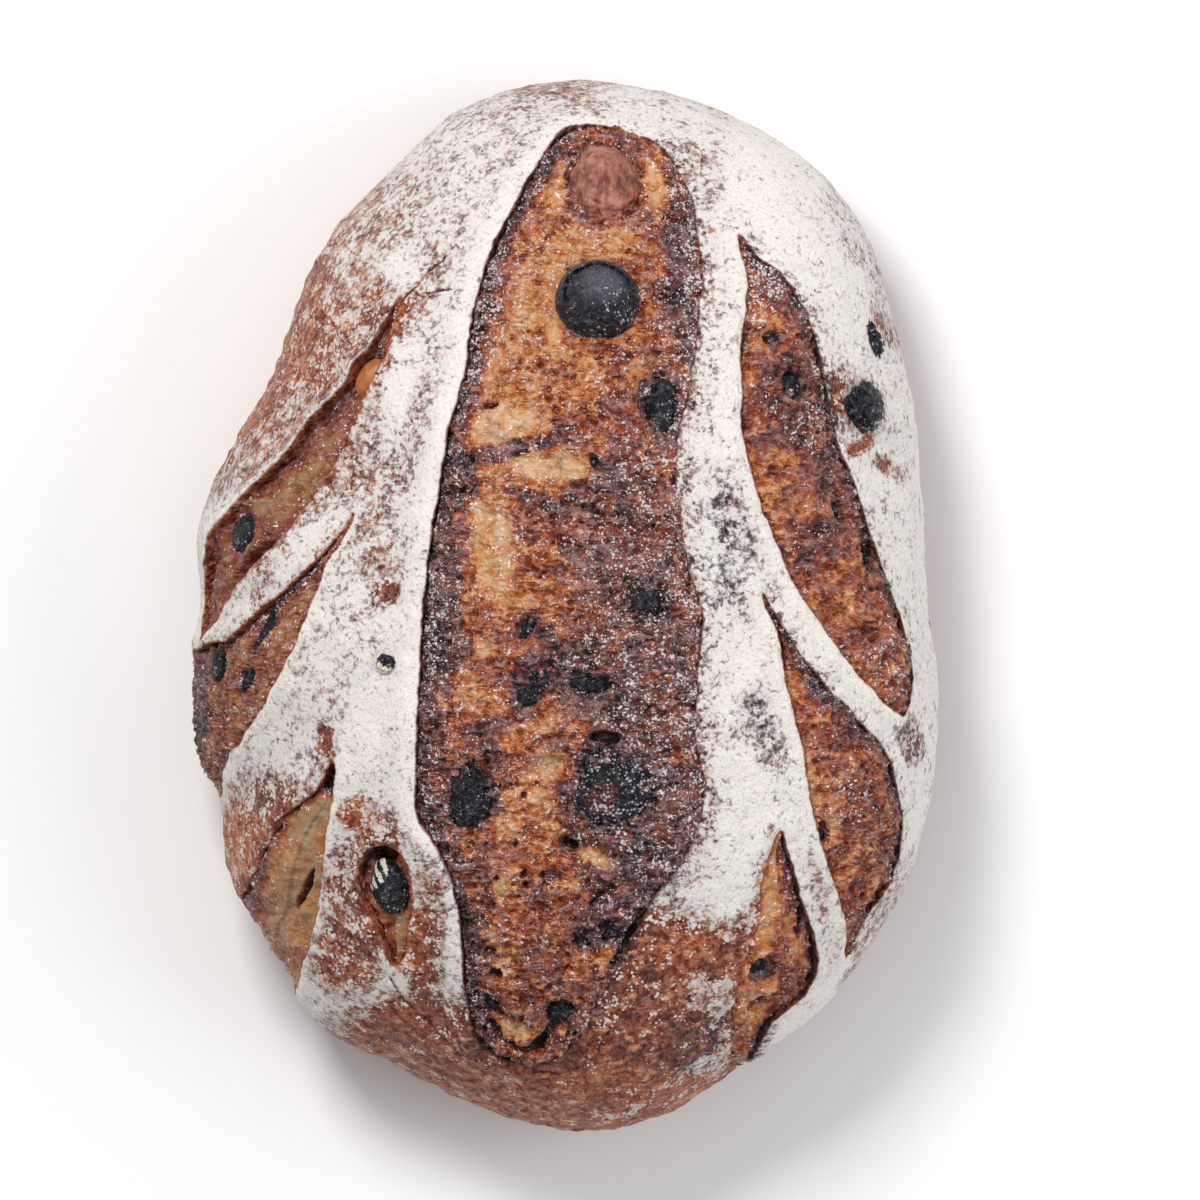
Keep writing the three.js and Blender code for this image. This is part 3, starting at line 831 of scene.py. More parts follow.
def ball_place(ball_points):
    """Angle and way of points on the ball, with most of its faces on the top."""
    polar = np.arccos(np.clip(ball_points[:, 2], -1, 1)) / np.pi
    stops = [0, POLAR_WIDEST, POLAR_BASE, 1]
    way = np.interp(polar, stops, [0, WAY_WIDEST, WAY_BASE_EDGE, WAY_END])
    return np.arctan2(ball_points[:, 1], ball_points[:, 0]), way


def nearest_edge(angle, way):
    """Signed distance to the nearest edge of all openings."""
    base, normal = plain_point(angle, way), plain_normal(angle, way)
    gaps = np.array([
        from_edge(opening, base, normal, angle, way, reach=5.0)[0] for opening in OPENINGS.values()
    ])
    return gaps[np.abs(gaps).argmin(axis=0), np.arange(len(base))]


def cut_up(ball, span):
    """Cuts in two each side of the faces that lie within span of an edge, or by a crack."""
    angle, way = ball_place(unit(np.array([v.co for v in ball.verts])))
    gap = nearest_edge(angle, way)
    chosen = (gap > span[0]) & (gap < span[1])
    chosen |= from_cracks(plain_point(angle, way)) < CRACK_CUT
    sides = [e for e in ball.edges if chosen[e.verts[0].index] or chosen[e.verts[1].index]]
    bmesh.ops.subdivide_edges(ball, edges=sides, cuts=1, use_grid_fill=True)
    bmesh.ops.triangulate(ball, faces=[f for f in ball.faces if len(f.verts) > 3])
    ball.verts.index_update()


ball = bmesh.new()
bmesh.ops.create_icosphere(ball, subdivisions=BALL_LEVEL, radius=1.0)
ball.verts.index_update()
for span in (FIRST_CUT, SECOND_CUT):
    cut_up(ball, span)
    print("after a cut:", len(ball.faces), "faces")

# %% [markdown]
# Going outwards from an opening, the skin starts at a thin edge, climbs to the crest of its
# curl and falls back to the loaf. Going inwards it turns under itself and dives below the
# crumb. Each of these is a small formula of the distance from the edge, and the points move
# along the surface's own outward direction and away from the opening.

# %% Shape of the skin near its openings
EDGE_SHARE = 0.45  # height of the very edge as a share of the crest
DIVE_DEPTH = 7.0
DIVE_WIDTH = 1.2
UNDERCUT = 0.9  # how far the skin is hollow under its edge
LIP_RAGGED = 0.4  # how unevenly the curl stands along the edge
CRACK_DEPTH, CRACK_WIDTH = 0.45, 0.30


def lip_height(opening, distance, away, base):
    """How high the curl stands: more on the steep side, and uneven along the edge."""
    ragged = 1 + LIP_RAGGED * layered_noise(base, 8.0, 3, seed=11)
    crest = between(opening["lip"], away, opening["steep"]) * np.clip(ragged, 0.2, 2)
    reach = opening["crest"]
    climb = EDGE_SHARE + (1 - EDGE_SHARE) * np.sin(np.clip(distance / reach, 0, 1) * np.pi / 2)
    past = np.maximum(distance - reach, 0) / (reach + 1.0)
    return crest * climb * np.exp(-(past**2))


edge_height = EDGE_SHARE * OPENINGS["middle"]["lip"][0]
print(f"the edge of the middle opening stands {edge_height:.1f} mm up on its steep side")

# %% Flour and browning of the skin
PLAIN_FLOUR, RIDGE_FLOUR = 0.82, 0.95  # densities where no patch lies, and on a ridge
RIDGE_ENDS = (-60, -44)  # the ridges of flour die out between these places along the loaf
FRAY_LOSS, CRACK_LOSS = 0.40, 0.4  # how much density is lost where flour breaks up
FLOURED_DOWN_TO = (12.0, 26.0)  # the flour thins out between these heights above the table
PLAIN_BROWN = 0.60
TORN_WIDTH = 2.0  # how fast the browned torn edge passes into the skin
FLOUR_MOTTLE, BROWN_MOTTLE = 0.13, 0.16  # how strongly noise varies them
RIDGE_COVER, CRACK_BROWN = 0.8, 0.25  # how much flour a ridge adds, and browning a crack


def paint_flour(facts):
    """How densely flour covers the skin, from 0 to 1."""
    base, plan = facts["base"], facts["base"][:, :2]
    plain = np.full(len(plan), PLAIN_FLOUR)
    flour = lay_patches(plain, push_about(plan, seed=61), FLOUR_PATCHES)
    ridge = np.exp(-((np.maximum(facts["edge"], 0) / facts["ridge"]) ** 2))
    flour += (RIDGE_FLOUR - flour) * RIDGE_COVER * ridge * smooth_step(*RIDGE_ENDS, plan[:, 1])
    flour += FLOUR_MOTTLE * layered_noise(base, 5.0, 4, seed=71, rough=0.6)
    flour -= FRAY_LOSS * facts["fray"] * (flour > 0.3) + CRACK_LOSS * facts["crack"]
    lower = base[:, 2] + 5 * layered_noise(base, 9.0, 3, seed=72)
    return np.clip(flour * smooth_step(*FLOURED_DOWN_TO, lower), 0, 1)


def paint_crust(facts):
    """How browned the skin is under its flour, from 0 to 1."""
    base, plan = facts["base"], facts["base"][:, :2]
    plain = np.full(len(plan), PLAIN_BROWN)
    brown = lay_patches(plain, push_about(plan, seed=64), CRUST_PATCHES)
    brown += BROWN_MOTTLE * layered_noise(base, 9.0, 4, seed=73)
    torn = np.exp(-np.maximum(facts["edge"], 0) / TORN_WIDTH)
    brown += torn * (facts["edge_tone"] - brown)
    return np.clip(brown + CRACK_BROWN * facts["crack"], 0, 1)


print("plain flour", PLAIN_FLOUR, "and browning", PLAIN_BROWN)


# %% What the openings do to the skin
def lay_openings(base, normal, angle, way):
    """What all openings do to the skin: how far it sinks, its lips, its shift sideways, and
    the nearest edge with its torn tone, frayed flour and ridge."""
    sunk, lips, shift = np.zeros(len(base)), np.zeros(len(base)), np.zeros_like(base)
    nearest, edge_tone = np.full(len(base), FAR), np.full(len(base), PLAIN_BROWN)
    fray, ridge = np.zeros(len(base)), np.ones(len(base))
    for opening in OPENINGS.values():
        distance, away = from_edge(opening, base, normal, angle, way)
        rows = np.flatnonzero(distance < FAR)
        gap, out = distance[rows], away[rows]
        lips[rows] = np.maximum(lips[rows], lip_height(opening, gap, out, base[rows]))
        inward = np.maximum(-gap, 0)
        sunk[rows] += DIVE_DEPTH * smooth_step(0, DIVE_WIDTH, inward)
        under = smooth_step(0, 0.5, inward) * np.exp(-np.maximum(inward - DIVE_WIDTH, 0) / 2)
        shift[rows] += out * (UNDERCUT * under)[:, None]
        reach = np.exp(-np.maximum(gap, 0) / opening["fray_width"])
        fray[rows] = np.maximum(fray[rows], reach * smooth_step(0.2, 0.9, out @ opening["frayed"]))
        closer = rows[np.abs(gap) < np.abs(nearest[rows])]
        edge_tone[closer] = between(opening["torn"], away[closer], opening["burnt"])
        ridge[closer] = between(opening["ridge"], away[closer], opening["steep"])
        nearest[closer] = distance[closer]
    facts = dict(base=base, edge=nearest, fray=fray, edge_tone=edge_tone, ridge=ridge)
    return sunk, lips, shift, facts


print("the skin dives", DIVE_DEPTH, "mm below its edge")

# %% Shape of the whole skin
BLISTER_HEIGHT, CREASE_DEPTH = 0.40, 0.35  # on bare crust
FINE_SWELL, BROAD_SWELL = 0.42, 0.30  # heights of the two sizes of unevenness
RIM_TURN = np.array(Euler((0, 0, 0.5)).to_matrix()) * (0.6, 1.1, 1.0)  # draws the blisters out


def shape_skin(angle, way):
    """Points of the finished skin, and what its colours need to know of each point."""
    base, normal = plain_point(angle, way), plain_normal(angle, way)
    sunk, lips, shift, facts = lay_openings(base, normal, angle, way)
    facts["crack"] = np.exp(-((from_cracks(base) / CRACK_WIDTH) ** 2))
    facts["flour"], facts["brown"] = paint_flour(facts), paint_crust(facts)

    on_top = smooth_step(WAY_BASE_EDGE, WAY_WIDEST, way)
    height = on_top * unevenness(base[:, :2]) - sunk
    bare = smooth_step(0.6, 0.2, facts["flour"])
    along_rim = base @ RIM_TURN
    blisters = smooth_step(0.05, 0.55, layered_noise(along_rim, 3.2, 2, seed=24))
    creases = (1 - np.abs(layered_noise(along_rim, 5.0, 2, seed=25))) ** 6
    height += bare * (BLISTER_HEIGHT * blisters - CREASE_DEPTH * creases)
    height += FINE_SWELL * layered_noise(base, 5.0, 4, seed=21, rough=0.6)
    height += lips + BROAD_SWELL * layered_noise(base, 12.0, 2, seed=23)
    height -= CRACK_DEPTH * facts["crack"]
    flat_base = smooth_step(WAY_BASE_EDGE + 0.02, WAY_BASE_EDGE - 0.10, way)
    points = base + normal * (height * flat_base)[:, None] + shift
    points[:, 2] = np.maximum(points[:, 2], 0.0)
    return points, facts


ball_points = unit(np.array([v.co for v in ball.verts]))
skin_points, skin_facts = shape_skin(*ball_place(ball_points))
print("the skin's top is at", round(skin_points[:, 2].max(), 1), "mm")


# %% Make the skin
def link_mesh(name, shape):
    """A smooth-shaded object from a bmesh that holds millimetres."""
    bmesh.ops.scale(shape, vec=(MM, MM, MM), verts=shape.verts)
    bmesh.ops.recalc_face_normals(shape, faces=shape.faces)
    mesh = bpy.data.meshes.new(name)
    shape.to_mesh(mesh)
    shape.free()
    mesh.polygons.foreach_set("use_smooth", [True] * len(mesh.polygons))
    piece = bpy.data.objects.new(name, mesh)
    bpy.context.scene.collection.objects.link(piece)
    return piece


def set_points(shape, points):
    """Moves the vertices of a bmesh to the points."""
    for vertex, point in zip(shape.verts, points):
        vertex.co = point


def write_attribute(piece, name, values):
    """A number at every point of a piece, for its material to read. Points that were added
    after the values were worked out, such as a closing wall's, keep 0."""
    padded = np.zeros(len(piece.data.vertices), np.float32)
    padded[: len(values)] = values
    piece.data.attributes.new(name, "FLOAT", "POINT").data.foreach_set("value", padded)


set_points(ball, skin_points)
skin = link_mesh("loaf_skin", ball)
for name in ("flour", "brown", "crack", "fray"):
    write_attribute(skin, name, skin_facts[name])
write_attribute(skin, "edge", np.clip(skin_facts["edge"], -6, 12))
print("skin:", len(skin.data.polygons), "faces")

# %% [markdown]
# Each opening gets a bed of crumb. It starts as a flat grid whose rows run across the opening
# from lip to lip, so its small faces are where the opening is, and nothing is spent on what
# the skin hides. The grid is laid on the loaf, given its relief, and closed underneath.

# %% A grid of crumb for one opening
CRUMB_STEP = 0.42  # side of the crumb's faces
TUCK = 2.4  # how far the crumb reaches under the skin


def opening_frame(opening):
    """Middle and long direction of an opening on the unrolled map."""
    middle = opening["map"].mean(0)
    spread = np.linalg.svd(opening["map"] - middle, full_matrices=False)[2]
    long_way = spread[0] if spread[0][1] > 0 else -spread[0]
    return middle, np.array([long_way, [long_way[1], -long_way[0]]])


def row_ends(local, station):
    """Where rows at the given stations along the opening enter and leave it."""
    low, high = [], []
    along, across = local.T
    next_along, next_across = np.roll(along, -1), np.roll(across, -1)
    for s in np.clip(station, along.min() + 0.05, along.max() - 0.05):
        hit = (along > s) != (next_along > s)
        t = (s - along[hit]) / (next_along[hit] - along[hit])
        cross = across[hit] + t * (next_across[hit] - across[hit])
        low.append(cross.min())
        high.append(cross.max())
    return np.array(low), np.array(high)


def lay_grid(opening):
    """A bmesh grid over an opening, and the angle and way of each of its points."""
    middle, axes = opening_frame(opening)
    local = (opening["map"] - middle) @ axes.T
    start, end = local[:, 0].min() - TUCK, local[:, 0].max() + TUCK
    rows = int((end - start) / CRUMB_STEP)
    station = np.linspace(start, end, rows + 1)
    low, high = row_ends(local, station)
    columns = int(((high - low).max() + 2 * TUCK) / CRUMB_STEP)
    grid = bmesh.new()
    bmesh.ops.create_grid(grid, x_segments=columns, y_segments=rows, size=1.0)
    flat = np.array([v.co for v in grid.verts])
    across_share = (flat[:, 0] + 1) / 2
    row = (flat[:, 1] + 1) / 2 * rows
    low_here = np.interp(row, np.arange(rows + 1), low) - TUCK
    high_here = np.interp(row, np.arange(rows + 1), high) + TUCK
    across = low_here + across_share * (high_here - low_here)
    along = np.interp(row, np.arange(rows + 1), station)
    spot = middle + np.column_stack([along, across]) @ axes
    angle = np.arctan2(spot[:, 1], spot[:, 0])
    way = np.hypot(spot[:, 0], spot[:, 1]) / outline_radius(angle)
    return grid, angle, np.minimum(way, WAY_BASE_EDGE)


print("the crumb's faces are", CRUMB_STEP, "mm wide")

# %% Close a bed of crumb underneath
BED_DEPTH = 6.0  # how far the wall round it goes down


def close_under(grid, normal):
    """Gives the open sheet a wall all round and a floor, so that it is a closed body."""
    rim = [e for e in grid.edges if e.is_boundary]
    made = bmesh.ops.extrude_edge_only(grid, edges=rim)["geom"]
    low_verts = [g for g in made if isinstance(g, bmesh.types.BMVert)]
    low_edges = [g for g in made if isinstance(g, bmesh.types.BMEdge) and g.is_boundary]
    bmesh.ops.translate(grid, verts=low_verts, vec=-Vector(normal) * BED_DEPTH)
    floor = bmesh.ops.edgeloop_fill(grid, edges=low_edges)["faces"]
    bmesh.ops.triangulate(grid, faces=floor, ngon_method="EAR_CLIP")


print("the beds are about", BED_DEPTH, "mm thick at their walls")

# %% [markdown]
# The crumb starts a little below the skin's edge and swells up towards the middle of the
# opening. Its surface was drawn out as the dough tore, so it has strands that run from lip to
# lip, over lumps a few millimetres wide, and burst bubbles that left small pits. It hugs the
# fruit raggedly, and it is charred round most of it, because fruit sugar burns first.

# %% Pits and pores in the crumb
# Middle on the plan, width and length, turn of the width from +X in degrees, depth, and how
# browned the inside is.
PITS = [
    ((8.4, -28.1), (7.2, 3.0), -4, 3.2, 0.86),
    ((1.0, -50.2), (5.0, 2.3), -16, 2.4, 0.88),
    ((55.4, -2.7), (7.4, 5.0), -30, 3.0, 0.40),
    ((63.2, -6.6), (6.2, 4.4), -35, 2.8, 0.50),
    ((-64.3, 8.2), (12.0, 4.2), 50, 3.2, 0.66),
    ((-43.6, 46.4), (4.2, 3.0), 48, 2.8, 0.98),
    ((-13.9, -76.8), (3.0, 2.6), 0, 2.2, 0.90),
    ((-8.2, -56.2), (1.4, 1.3), 0, 1.2, 0.90),
    ((-8.0, -58.6), (1.5, 1.3), 0, 1.2, 0.90),
    ((-13.9, -57.3), (1.2, 1.4), 0, 1.0, 0.7),
    ((-8.4, -40.2), (1.4, 1.4), 0, 1.2, 0.86),
    ((-15.5, 40.2), (4.4, 1.0), 10, 1.4, 0.70),
    ((6.4, 28.4), (2.0, 4.0), 30, 2.2, 0.95),
    ((42.8, 54.8), (3.4, 2.4), 0, 2.0, 0.90),
    ((44.5, 41.7), (1.6, 1.5), 0, 1.5, 0.92),
    ((53.9, -48.0), (2.4, 4.6), 10, 2.6, 0.97),
    ((-54.3, -60.4), (1.6, 9.0), -22, 2.2, 0.92),
    ((-38.2, -52.6), (6.0, 4.6), 0, 3.4, 0.98),
    ((49.0, -65.0), (1.6, 10.0), -12, 1.6, 0.95),
    ((44.8, -10.0), (1.6, 8.0), 8, 1.6, 0.92),
]
PIT_DEEPER = 1.3  # the relief round a pit hides some of its depth, so it is cut deeper


def pit_depth(plan):
    """How deep the pits are at each place."""
    depth = np.zeros(len(plan))
    ragged = 0.14 * layered_noise(on_plan(plan), 2.0, 3, seed=31)
    for at, size, turn, deep, _ in PITS:
        share = ellipse_share(plan, at, size, turn) + ragged
        depth = np.maximum(depth, PIT_DEEPER * deep * smooth_step(1.06, 0.70, share))
    return depth


print(len(PITS), "pits and pores")

# %% Single strands that stand proud of the crumb, and tears in it
# Each is a line on the plan, and how high and wide the strand is. A tear has a height below 0.
STRANDS = [
    ([(-6.5, 29.6), (-2.0, 31.6), (3.0, 31.4), (6.4, 30.2), (9.4, 27.6)], 1.0, 0.9),
    ([(-1.4, 5.6), (0.4, 7.8), (3.2, 7.2), (5.8, 5.2)], 1.0, 0.7),
    ([(-11.0, -7.6), (-6.0, -3.6), (-1.0, -2.4)], 0.7, 0.6),
    ([(-22.0, -22.4), (-15.0, -23.6), (-9.0, -20.6)], 0.8, 0.8),
    ([(-17.0, 29.0), (-10.0, 31.4), (-3.6, 34.4)], 0.7, 0.8),
    ([(15.6, -48.0), (10.0, -46.4), (4.6, -48.4)], 0.7, 0.7),
    ([(14.4, -76.4), (17.2, -70.4), (19.8, -64.6)], 0.9, 0.6),
    ([(1.0, 97.4), (5.6, 97.6), (11.0, 96.0), (14.6, 93.0)], 0.8, 0.9),
    ([(-1.8, 95.0), (-0.4, 88.0), (-2.6, 80.4)], 0.8, 0.8),
    ([(16.0, 93.0), (19.6, 88.0), (20.6, 82.0)], 0.8, 0.9),
    ([(54.2, -5.4), (57.6, -3.8), (61.0, -1.6)], 1.1, 0.6),
    ([(-66.6, 20.6), (-62.4, 21.4), (-59.4, 18.0)], 0.9, 0.7),
    ([(-15.4, -87.8), (-13.0, -90.6), (-9.4, -92.0), (-5.4, -91.2), (-2.6, -88.0)], -3.0, 1.0),
    ([(9.8, -75.0), (12.6, -72.2), (15.0, -68.4), (16.6, -64.8)], -3.0, 0.8),
    ([(5.6, -62.2), (7.4, -60.8), (9.6, -58.8)], -1.6, 0.6),
]


def lay_strands():
    """Close points along every strand, with its height and width."""
    return np.array([
        (*spot, height, width) for line, height, width in STRANDS for spot in along_line(line)
    ])


STRAND_WOBBLE = 0.6  # how far a strand wanders off its line

strand_facts = lay_strands()
strand_tree = make_tree(plain_point(*place_of(strand_facts[:, :2])))


def from_strands(base):
    """How high strands raise the crumb, and how close a strand is, from 0 to 1."""
    push = [layered_noise(base, 3.0, 3, seed=35 + k) for k in range(3)]
    pushed = base + STRAND_WOBBLE * np.stack(push, axis=1)
    found = [strand_tree.find(point)[1:] for point in pushed]
    index, gap = np.array([f[0] for f in found]), np.array([f[1] for f in found])
    height, width = strand_facts[index, 2], strand_facts[index, 3]
    return height * np.exp(-((gap / width) ** 2)), smooth_step(2.4, 0.6, gap)


print(len(STRANDS), "strands and tears")

# %% Fruit and nuts that show in the crust
# Middle on the plan, width and length that show, turn of the width from +X in degrees, and
# how far the middle stands above the surface, as a share of half the thickness. `top` is how
# flat it is above, `ragged` how unevenly the crumb laps over it in millimetres, `char` how
# burnt the crumb is round it and `wrinkled` how deep its folds are. `floured` is the side
# that has flour on it, and how far from the middle the flour starts. `dusty` is how much
# more loose flour than usual lies on it.
FRUITS = {
    "berry_crown": dict(at=(6.4, 61.9), size=(17.5, 16.7), proud=0.15, ragged=0.15, char=0.1,
                        wrinkled=0.02, top=0.80),
    "hazelnut_top": dict(at=(8.6, 87.6), size=(14.6, 18.4), proud=0.0, ragged=0.8, char=0.25,
                         wrinkled=0.16, top=0.70),
    "raisin_edge": dict(at=(20.1, 41.0), size=(7.5, 12.9), turn=4, proud=-0.2, ragged=1.2),
    "currant_upper_right": dict(at=(48.8, 45.4), size=(5.4, 5.4), proud=-0.1),
    "currant_middle_right": dict(at=(57.4, 19.6), size=(3.8, 4.6), proud=-0.1),
    "currant_right_lip": dict(at=(64.0, 9.2), size=(4.2, 5.0), proud=0.0),
    "raisin_right_shoulder": dict(at=(61.8, 40.4), size=(9.4, 10.4), proud=-0.1, char=0.0,
                                  wrinkled=0.4, floured=(0.7, -0.6, 0.8)),
    "raisin_right_side": dict(at=(64.3, 54.6), size=(4.2, 7.2), turn=20, proud=-0.4, char=0.0,
                              wrinkled=0.5, floured=(0.8, 0.3, 0.1)),
    "raisin_under_skin": dict(at=(17.0, -0.3), size=(8.3, 7.6), turn=10, proud=-0.35, ragged=1.1),
    "raisin_centre_slant": dict(at=(-6.1, -17.6), size=(12.6, 5.0), turn=50, proud=-0.3, ragged=1.1,
                                char=0.5),
    "currant_centre": dict(at=(-7.8, -5.8), size=(5.6, 2.8), turn=58, proud=-0.1, char=0.4),
    "raisin_centre_sliver": dict(at=(5.4, -17.3), size=(8.8, 4.0), turn=-6, proud=0.0, ragged=0.5),
    "berry_burst": dict(at=(10.2, -39.6), size=(18.0, 15.4), turn=20, proud=-0.15, top=0.52,
                        ragged=1.3, wrinkled=0.20, dusty=0.8),
    "raisin_left_edge": dict(at=(-19.7, -40.6), size=(9.2, 12.6), turn=-8, proud=-0.1, ragged=1.3,
                             wrinkled=0.36),
    "raisin_pit": dict(at=(-36.8, -59.8), size=(8.8, 11.6), turn=8, proud=0.1, char=0.5),
    "currant_lower_pair_a": dict(at=(9.7, -68.8), size=(5.4, 4.8), proud=-0.1),
    "currant_lower_pair_b": dict(at=(3.9, -69.8), size=(3.8, 4.6), proud=-0.1),
    "currant_end_ball": dict(at=(-0.9, -85.2), size=(5.6, 5.8), proud=0.1, char=0.3),
    "currant_end_slant": dict(at=(-14.9, -84.4), size=(7.2, 3.0), turn=-48, proud=-0.1, char=0.3),
    "raisin_upper_left": dict(at=(-68.2, 14.4), size=(8.4, 7.6), turn=15, proud=0.0, ragged=0.5),
    "raisin_left_slant": dict(at=(-63.0, -6.3), size=(8.8, 3.8), turn=55, proud=-0.1),
    "currant_left": dict(at=(-66.6, -16.3), size=(6.4, 3.6), turn=40, proud=-0.1),
    "raisin_left_side": dict(at=(-73.4, -12.8), size=(7.0, 6.0), turn=30, proud=0.4, ragged=0.3),
    "almond_upper_left": dict(at=(-42.3, 47.4), size=(8.6, 5.0), turn=52, proud=-0.1, ragged=0.2,
                              char=0.0, wrinkled=0.0),
    "currant_lower_right_a": dict(at=(41.2, -76.7), size=(4.8, 5.0), proud=-0.2, char=0.5),
    "currant_lower_right_b": dict(at=(41.9, -82.7), size=(7.4, 3.0), turn=24, proud=-0.2, char=0.3),
    "currant_left_fork": dict(at=(-49.2, -37.4), size=(3.8, 5.2), turn=-10, proud=-0.2),
    "currant_in_skin": dict(at=(-36.8, -12.9), size=(4.2, 3.6), proud=-0.25, char=0.0,
                            wrinkled=0.5, floured=(-0.5, -0.7, 0.0)),
}
FRUIT_THICKNESS = 0.82  # thickness as a share of the mean width

for name, fruit in FRUITS.items():
    low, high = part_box(name)
    fruit["centre"] = np.array((low + high) / 2) / MM
    hidden = min(0.0, fruit["proud"])
    half = np.array(fruit["size"]) / 2 / math.sqrt(1 - hidden**2)
    fruit["half"] = np.append(half, FRUIT_THICKNESS * half.mean())
    fruit["turn"] = math.radians(fruit.get("turn", 0))
    angle, way = place_of(np.array([fruit["at"]], float))
    fruit["normal"] = plain_normal(angle, way)[0]
    lay = Vector((0, 0, 1)).rotation_difference(Vector(fruit["normal"])).to_matrix()
    fruit["lay"] = np.array(lay @ Matrix.Rotation(fruit["turn"], 3, "Z"))
print(len(FRUITS), "fruit and nuts")

# %% How the crumb meets the fruit
FRUIT_REACH = 12.0  # a fruit acts on the crumb up to this far above and below its middle
SEAT_SHARE = 1.8  # the crumb is drawn to a fruit up to this share of its outline


def beside_fruit(base, fruit):
    """Share of the fruit's outline at which points lie, and their height over its middle."""
    local = (base - fruit["centre"]) @ fruit["lay"]
    share = np.hypot(local[:, 0] / fruit["half"][0], local[:, 1] / fruit["half"][1])
    return np.where(np.abs(local[:, 2]) < FRUIT_REACH, share, FAR), local[:, 2]


def seat_around_fruit(base, height):
    """Brings the surface beside each fruit to the level at which that fruit is set in it."""
    ragged = layered_noise(base, 2.6, 3, seed=44, rough=0.6)
    for fruit in FRUITS.values():
        share, depth = beside_fruit(base, fruit)
        pull = smooth_step(SEAT_SHARE, 0.9, share)
        level = -depth - fruit["proud"] * fruit["half"][2] + fruit.get("ragged", 0.8) * ragged
        height = height + pull * (level - height)
    return height


half_thick = max(fruit["half"][2] for fruit in FRUITS.values())
print("the thickest fruit is", round(2 * half_thick, 1), "mm thick before it is flattened")

# %% Browning and dust of a bed of crumb
CHARRED, EDGE_BROWN, FRUIT_CHARRED = 0.93, 0.78, 0.95  # by the heat, at the very edge, by fruit
USUAL_CHAR = 0.8
CRUMB_MOTTLE, DUST_MOTTLE = 0.14, 0.2  # how strongly noise varies browning and dust
BURNT_DUST, FRAYED_DUST = 0.25, 0.4  # how much more dust lies on the burnt and the frayed side


def paint_crumb(opening, base, inside, away):
    """Browning and dust of the crumb, and where a pale window is, each from 0 to 1."""
    plan = base[:, :2]
    brown = lay_patches(np.full(len(plan), opening["tone"]), push_about(plan, 62), BROWN_PATCHES)
    window = smooth_step(0.30, 0.16, brown)
    brown += CRUMB_MOTTLE * layered_noise(base, 5.0, 4, seed=74, rough=0.6)
    ragged = 1 + 0.6 * layered_noise(base, 4.0, 4, seed=75, rough=0.6)
    burn = smooth_step(-0.1, 0.8, away @ opening["burnt"])
    strip = burn * np.exp(-((inside / (opening["burn_width"] * ragged)) ** 2))
    brown += (CHARRED - brown) * strip
    brown += (EDGE_BROWN - brown) * 0.5 * np.exp(-inside / 0.7)
    dust = lay_patches(np.full(len(plan), opening["dust"]), push_about(plan, 67), DUST_PATCHES)
    dust += BURNT_DUST * strip + DUST_MOTTLE * layered_noise(base, 5.0, 3, seed=76)
    frayed = smooth_step(0.2, 0.9, away @ opening["frayed"])
    dust += FRAYED_DUST * np.exp(-inside / 2.0) * frayed
    torn = 0.3 * layered_noise(base, 2.4, 3, seed=77)
    for fruit in FRUITS.values():
        share = beside_fruit(base, fruit)[0] + torn
        char = smooth_step(1.5, 1.0, share) * fruit.get("char", USUAL_CHAR)
        brown += char * (FRUIT_CHARRED - brown)
    for at, size, turn, _, inner in PITS:
        weight = smooth_step(1.08, 0.86, ellipse_share(plan, at, size, turn) + 0.4 * torn)
        brown += weight * (inner - brown)
        dust *= 1 - weight
    return np.clip(brown, 0, 1), np.clip(dust, 0, 1), window


print("crumb is browned to", CHARRED, "at its burnt edges and", FRUIT_CHARRED, "by fruit")

# %% Shape of the crumb
SWELL_WIDTH = 5.5  # how fast the crumb swells away from the edge
LUMP_HEIGHT, WINDOW_DEPTH = 1.5, 0.9
STRAND_HEIGHT, PORE_DEPTH, PEBBLE_HEIGHT = 1.1, 1.0, 0.6
OUTSIDE_FALL = 1.5  # how steeply the crumb falls away under the skin
TEAR_BROWN = 0.90
STRAND_WANDER = 1.8  # how far the fine strands wander
STRAND_DRAW = (0.5, 1.0, 1.0)  # they are drawn out to twice their length across the loaf


def shape_crumb(opening, angle, way):
    """Points of a bed of crumb, and what its colours need to know of each point."""
    base, normal = plain_point(angle, way), plain_normal(angle, way)
    distance, away = from_edge(opening, base, normal, angle, way, reach=30.0)
    inside = np.maximum(-distance, 0)
    brown, dust, window = paint_crumb(opening, base, inside, away)
    height = unevenness(base[:, :2]) - between(opening["sink"], away, opening["steep"])
    height += opening["rise"] * (1 - np.exp(-inside / SWELL_WIDTH))
    height += LUMP_HEIGHT * layered_noise(base, 7.0, 3, seed=41) - WINDOW_DEPTH * window
    height = seat_around_fruit(base, height)
    push = [STRAND_WANDER * layered_noise(base, 5.0, 2, seed=46 + k) for k in range(3)]
    drawn = (base + np.stack(push, axis=1)) * STRAND_DRAW
    strands = (1 - np.abs(layered_noise(drawn, 2.6, 2, seed=42))) ** 5
    pores = smooth_step(0.25, 0.7, layered_noise(base, 2.6, 2, seed=45))
    raised, flat = from_strands(base)
    brown += smooth_step(-0.6, -1.6, raised) * (TEAR_BROWN - brown)
    pebbles = layered_noise(base, 2.0, 2, seed=43)
    relief = STRAND_HEIGHT * strands - PORE_DEPTH * pores + PEBBLE_HEIGHT * pebbles
    grain = opening["grain"] * (1 - 0.35 * window)
    relief = relief * grain * (1 - 0.2 * window) * (1 - 0.7 * flat) + raised
    height += relief - pit_depth(base[:, :2]) * (distance < 1)
    height -= OUTSIDE_FALL * np.maximum(distance, 0)
    # Painted shade: how much this slash's pale crumb is darkened, as if in the shade of a deep
    # slash.
    painted_deep_shade = np.full(len(base), opening["painted_deep_shade"])
    facts = dict(brown=brown, dust=dust, relief=relief, grain=grain, painted_deep_shade=painted_deep_shade)
    return base + normal * height[:, None], normal, facts


